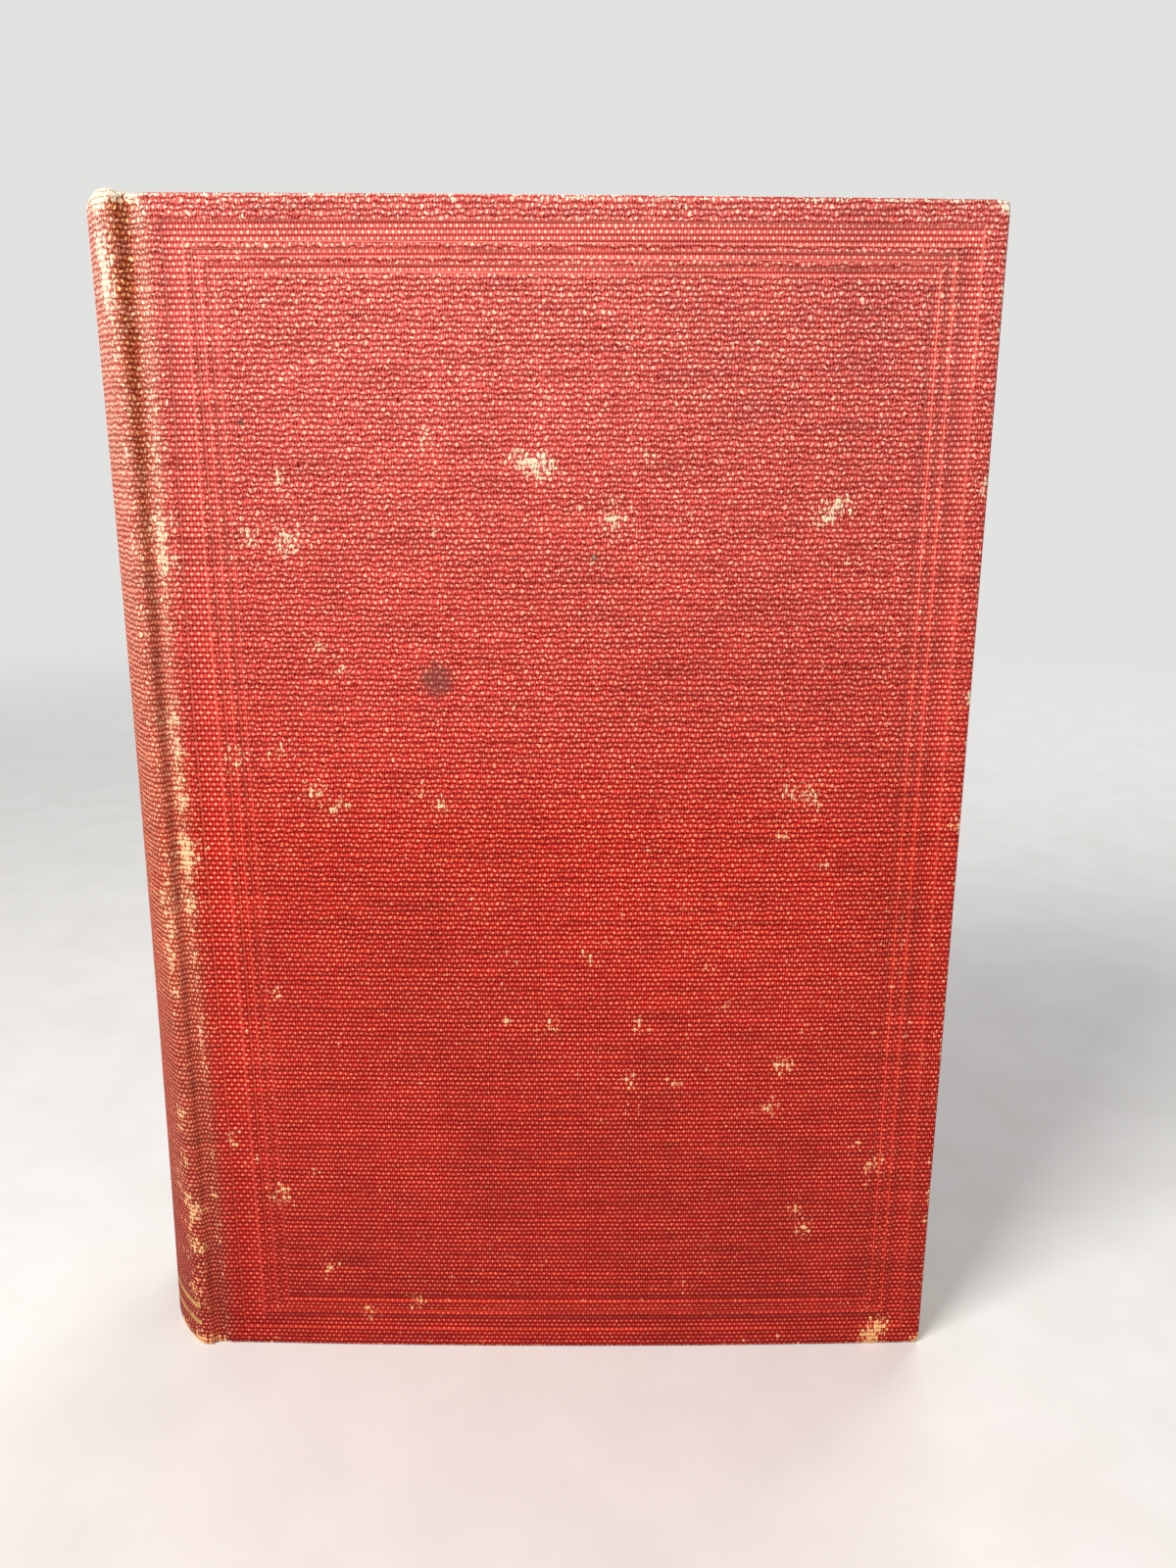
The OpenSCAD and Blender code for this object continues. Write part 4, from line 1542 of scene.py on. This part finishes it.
@dataclass(frozen=True)
class BandSilk(Finish):
    """Headband wound in two dull colours."""

    one: tuple = srgb(158, 58, 48)
    other: tuple = srgb(214, 196, 158)
    dirt: tuple = srgb(96, 70, 52)
    pitch: float = 1.5

    def make(self) -> Material:
        """Builds the material.

        Returns:
            The striped band, on Object coordinates.
        """
        material, t, shader = self.start()
        place = t.object_place()
        _, y, z = t.parts(place)
        across = t.mul(y, 1000.0 / self.pitch)
        stripe = t.calc("SINE", t.mul(across, 2 * math.pi))
        wind = t.calc("ABSOLUTE", t.calc("SINE", t.mul(across, 4 * math.pi)))
        colour = t.mix(t.remap(stripe, -0.25, 0.25), self.one, self.other)
        dirty = t.remap(t.noise(place, 400.0, 3.0), 0.4, 0.75, 0.0, 0.4)
        colour = t.mix(dirty, colour, self.dirt)
        self.end(t, shader, colour, wind, (0.8, 0.0002))
        return material


GROUPS = {
    "weave": plain_weave_group(),
    "flecks": flecks_group(),
    "tone": tone_group(),
    "spot": spot_group(),
}


def dress(obj: Piece, material: Material) -> None:
    """Gives a piece or a CAD node its material."""
    obj.data.materials.clear()
    obj.data.materials.append(material)


@dataclass(frozen=True)
class Studio:
    """Pale floor, soft light and the photograph's camera."""

    camera_mm: tuple[float, float, float] = (11.3, -261.4, 195.8)
    pitch: float = 15.53
    lens: float = 29.25
    haze: tuple = (0.76, 0.76, 0.75, 1.0)

    def camera(self) -> None:
        """Puts the camera where the photograph was taken from."""
        data = bpy.data.cameras.new("camera")
        data.lens, data.sensor_width, data.clip_start = self.lens, 36.0, 0.01
        cam = bpy.data.objects.new("camera", data)
        cam.location = [c * MM for c in self.camera_mm]
        cam.rotation_euler = (math.radians(90 - self.pitch), 0.0, 0.0)
        bpy.context.scene.collection.objects.link(cam)
        bpy.context.scene.camera = cam

    def lamp(
        self, name: str, place: tuple, aim: tuple, size: float, watts: float, tint: tuple
    ) -> None:
        """Adds a square soft lamp.

        Args:
            name: its name.
            place: where it hangs, in metres.
            aim: what it points at.
            size: width of its face.
            watts: its power.
            tint: its colour.
        """
        data = bpy.data.lights.new(name, "AREA")
        data.shape, data.size, data.energy, data.color = "SQUARE", size, watts, tint
        lamp = bpy.data.objects.new(name, data)
        lamp.location = place
        lamp.rotation_euler = (Vector(aim) - Vector(place)).to_track_quat("-Z", "Y").to_euler()
        bpy.context.scene.collection.objects.link(lamp)

    def floor(self) -> None:
        """A flat pale floor whose far part, as the camera sees it, fades into the surround's tone."""
        clear_selection()
        bpy.ops.mesh.primitive_plane_add(size=8.0, location=(0, 0, 0))
        floor = bpy.context.object
        floor.name = "studio_floor"
        material = bpy.data.materials.new("pale_floor")
        material.use_nodes = True
        tree = Tree(material.node_tree)
        shader = material.node_tree.nodes["Principled BSDF"]
        shader.inputs["Roughness"].default_value = 0.9
        place = tree.object_place()
        grain = tree.noise(place, 40.0, 4.0)
        pale = tree.mix(tree.remap(grain, 0.3, 0.7), srgb(226, 225, 222), srgb(231, 230, 228))
        tree.feed(shader.inputs["Base Color"], pale)
        glow = tree.add("Emission", {"Color": self.haze, "Strength": 1.0})
        reach = tree.add("VectorMath", {0: place}, operation="LENGTH").outputs["Value"]
        far = tree.remap(reach, 0.3, 1.1)
        seen = tree.mul(far, tree.add("LightPath").outputs["Is Camera Ray"])
        both = tree.add("MixShader", {0: seen, 1: shader.outputs[0], 2: glow.outputs[0]})
        tree.feed(material.node_tree.nodes["Material Output"].inputs["Surface"], both.outputs[0])
        dress(floor, material)

    def world(self) -> None:
        """An even pale surround, which the camera sees in the floor's own tone."""
        world = bpy.data.worlds.new("surround")
        world.use_nodes = True
        t = Tree(world.node_tree)
        background = world.node_tree.nodes["Background"]
        seen = t.add("LightPath").outputs["Is Camera Ray"]
        t.feed(background.inputs[0], t.mix(seen, (0.86, 0.88, 0.92, 1.0), self.haze))
        t.feed(background.inputs[1], t.affine(seen, 0.7, 0.3))
        bpy.context.scene.world = world

    def build(self) -> None:
        """Sets the whole surroundings."""
        self.camera()
        self.world()
        self.floor()
        self.lamp("key", (-0.34, -0.40, 0.62), (0.0, 0.0, 0.13), 0.28, 6.1, (1.0, 0.97, 0.93))
        self.lamp("fill", (0.9, -0.6, 0.4), (0.0, 0.0, 0.1), 0.8, 2.0, (1.0, 1.0, 1.0))
        self.lamp("rim", (0.5, 0.9, 0.8), (0.0, 0.0, 0.12), 0.8, 7.0, (1.0, 1.0, 1.0))
        bpy.context.scene.view_settings.view_transform = "Standard"


class Book:
    """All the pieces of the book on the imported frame."""

    def __init__(self) -> None:
        """Sets the sizes, the same as part.scad's, and makes the shared finishes."""
        self.sizes = BookSizes()
        self.path = PlanPath(self.sizes)
        self.cloth = BookCloth("red_book_cloth", roughness=0.85, sheen=0.03).make()
        self.paper = Paper("endpaper_stock").make()
        self.gauze = Gauze("mull_gauze").make()
        self.pulp = Pulp("strawboard").make()

    def bend_over(self, obj: Piece, side: Side, start: float, end: float) -> None:
        """Lets a piece bend across its cover's joint.

        Args:
            obj: the piece.
            side: which cover.
            start: u where it leaves the text block.
            end: u where it follows the cover.
        """
        v = self.sizes.outer_v * side.value * MM
        a = ((start - self.sizes.origin_u) * MM, v, 0.0)
        b = ((end - self.sizes.origin_u) * MM, v, 0.0)
        if side is Side.FRONT:
            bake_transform(obj, side.body, "text_block", start=b, end=a)
        else:
            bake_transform(obj, "text_block", side.body, start=a, end=b)

    def cover(self, side: Side, bow: float, marks: tuple[WearMark, ...]) -> None:
        """Builds one cover.

        Args:
            side: which cover.
            bow: how far its middle stands out.
            marks: its rubbed spots.
        """
        space = BookSpace(self.sizes, self.path, side, bow)
        cloth = CaseCloth(space, marks, stamp=0.42).build()
        dress(cloth, self.cloth)
        self.bend_over(cloth, side, start=-2.8, end=2.4)
        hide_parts(f"{side.word}_cover_cloth", "spine_cloth")
        paper = Endpaper(space).build()
        dress(paper, self.paper)
        self.bend_over(paper, side, start=-1.2, end=1.5)
        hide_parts(f"{side.word}_pastedown")
        core = BoardCore(space)
        board = core.board()
        dress(board, self.pulp)
        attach(board, side.body)
        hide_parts(f"{side.word}_board")
        flap = core.flap()
        dress(flap, self.gauze)
        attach(flap, side.body)
        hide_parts(f"{side.word}_mull_flap")
        for piece in (cloth, paper, board, flap):
            LOG.info("%s: %d faces", piece.name, len(piece.data.polygons))

    def text_block(self) -> None:
        """Dresses the CAD nodes of the text block and the spine's linings."""
        leaves = LeafEdges("leaf_edges").make()
        kraft = Paper("kraft_lining", tint=srgb(176, 138, 92), spot=srgb(120, 84, 48)).make()
        silk = BandSilk("headband_silk", sheen=0.3).make()
        materials = {
            "pages": leaves,
            "front_flyleaf": self.paper,
            "back_flyleaf": self.paper,
            "spine_mull": self.gauze,
            "spine_lining": kraft,
            "spine_inlay": self.pulp,
            "head_band": silk,
            "tail_band": silk,
        }
        for name, material in materials.items():
            dress(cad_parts[name], material)
        LOG.info("text block: %d CAD nodes dressed", len(materials))

    def build(self) -> None:
        """Builds the pieces in order."""
        self.cover(Side.FRONT, bow=1.3, marks=FRONT_MARKS)
        self.cover(Side.BACK, bow=0.0, marks=())
        self.text_block()


def main() -> None:
    """Sets the studio and builds the book."""
    Studio().build()
    Book().build()


if __name__ == "__main__":
    main()
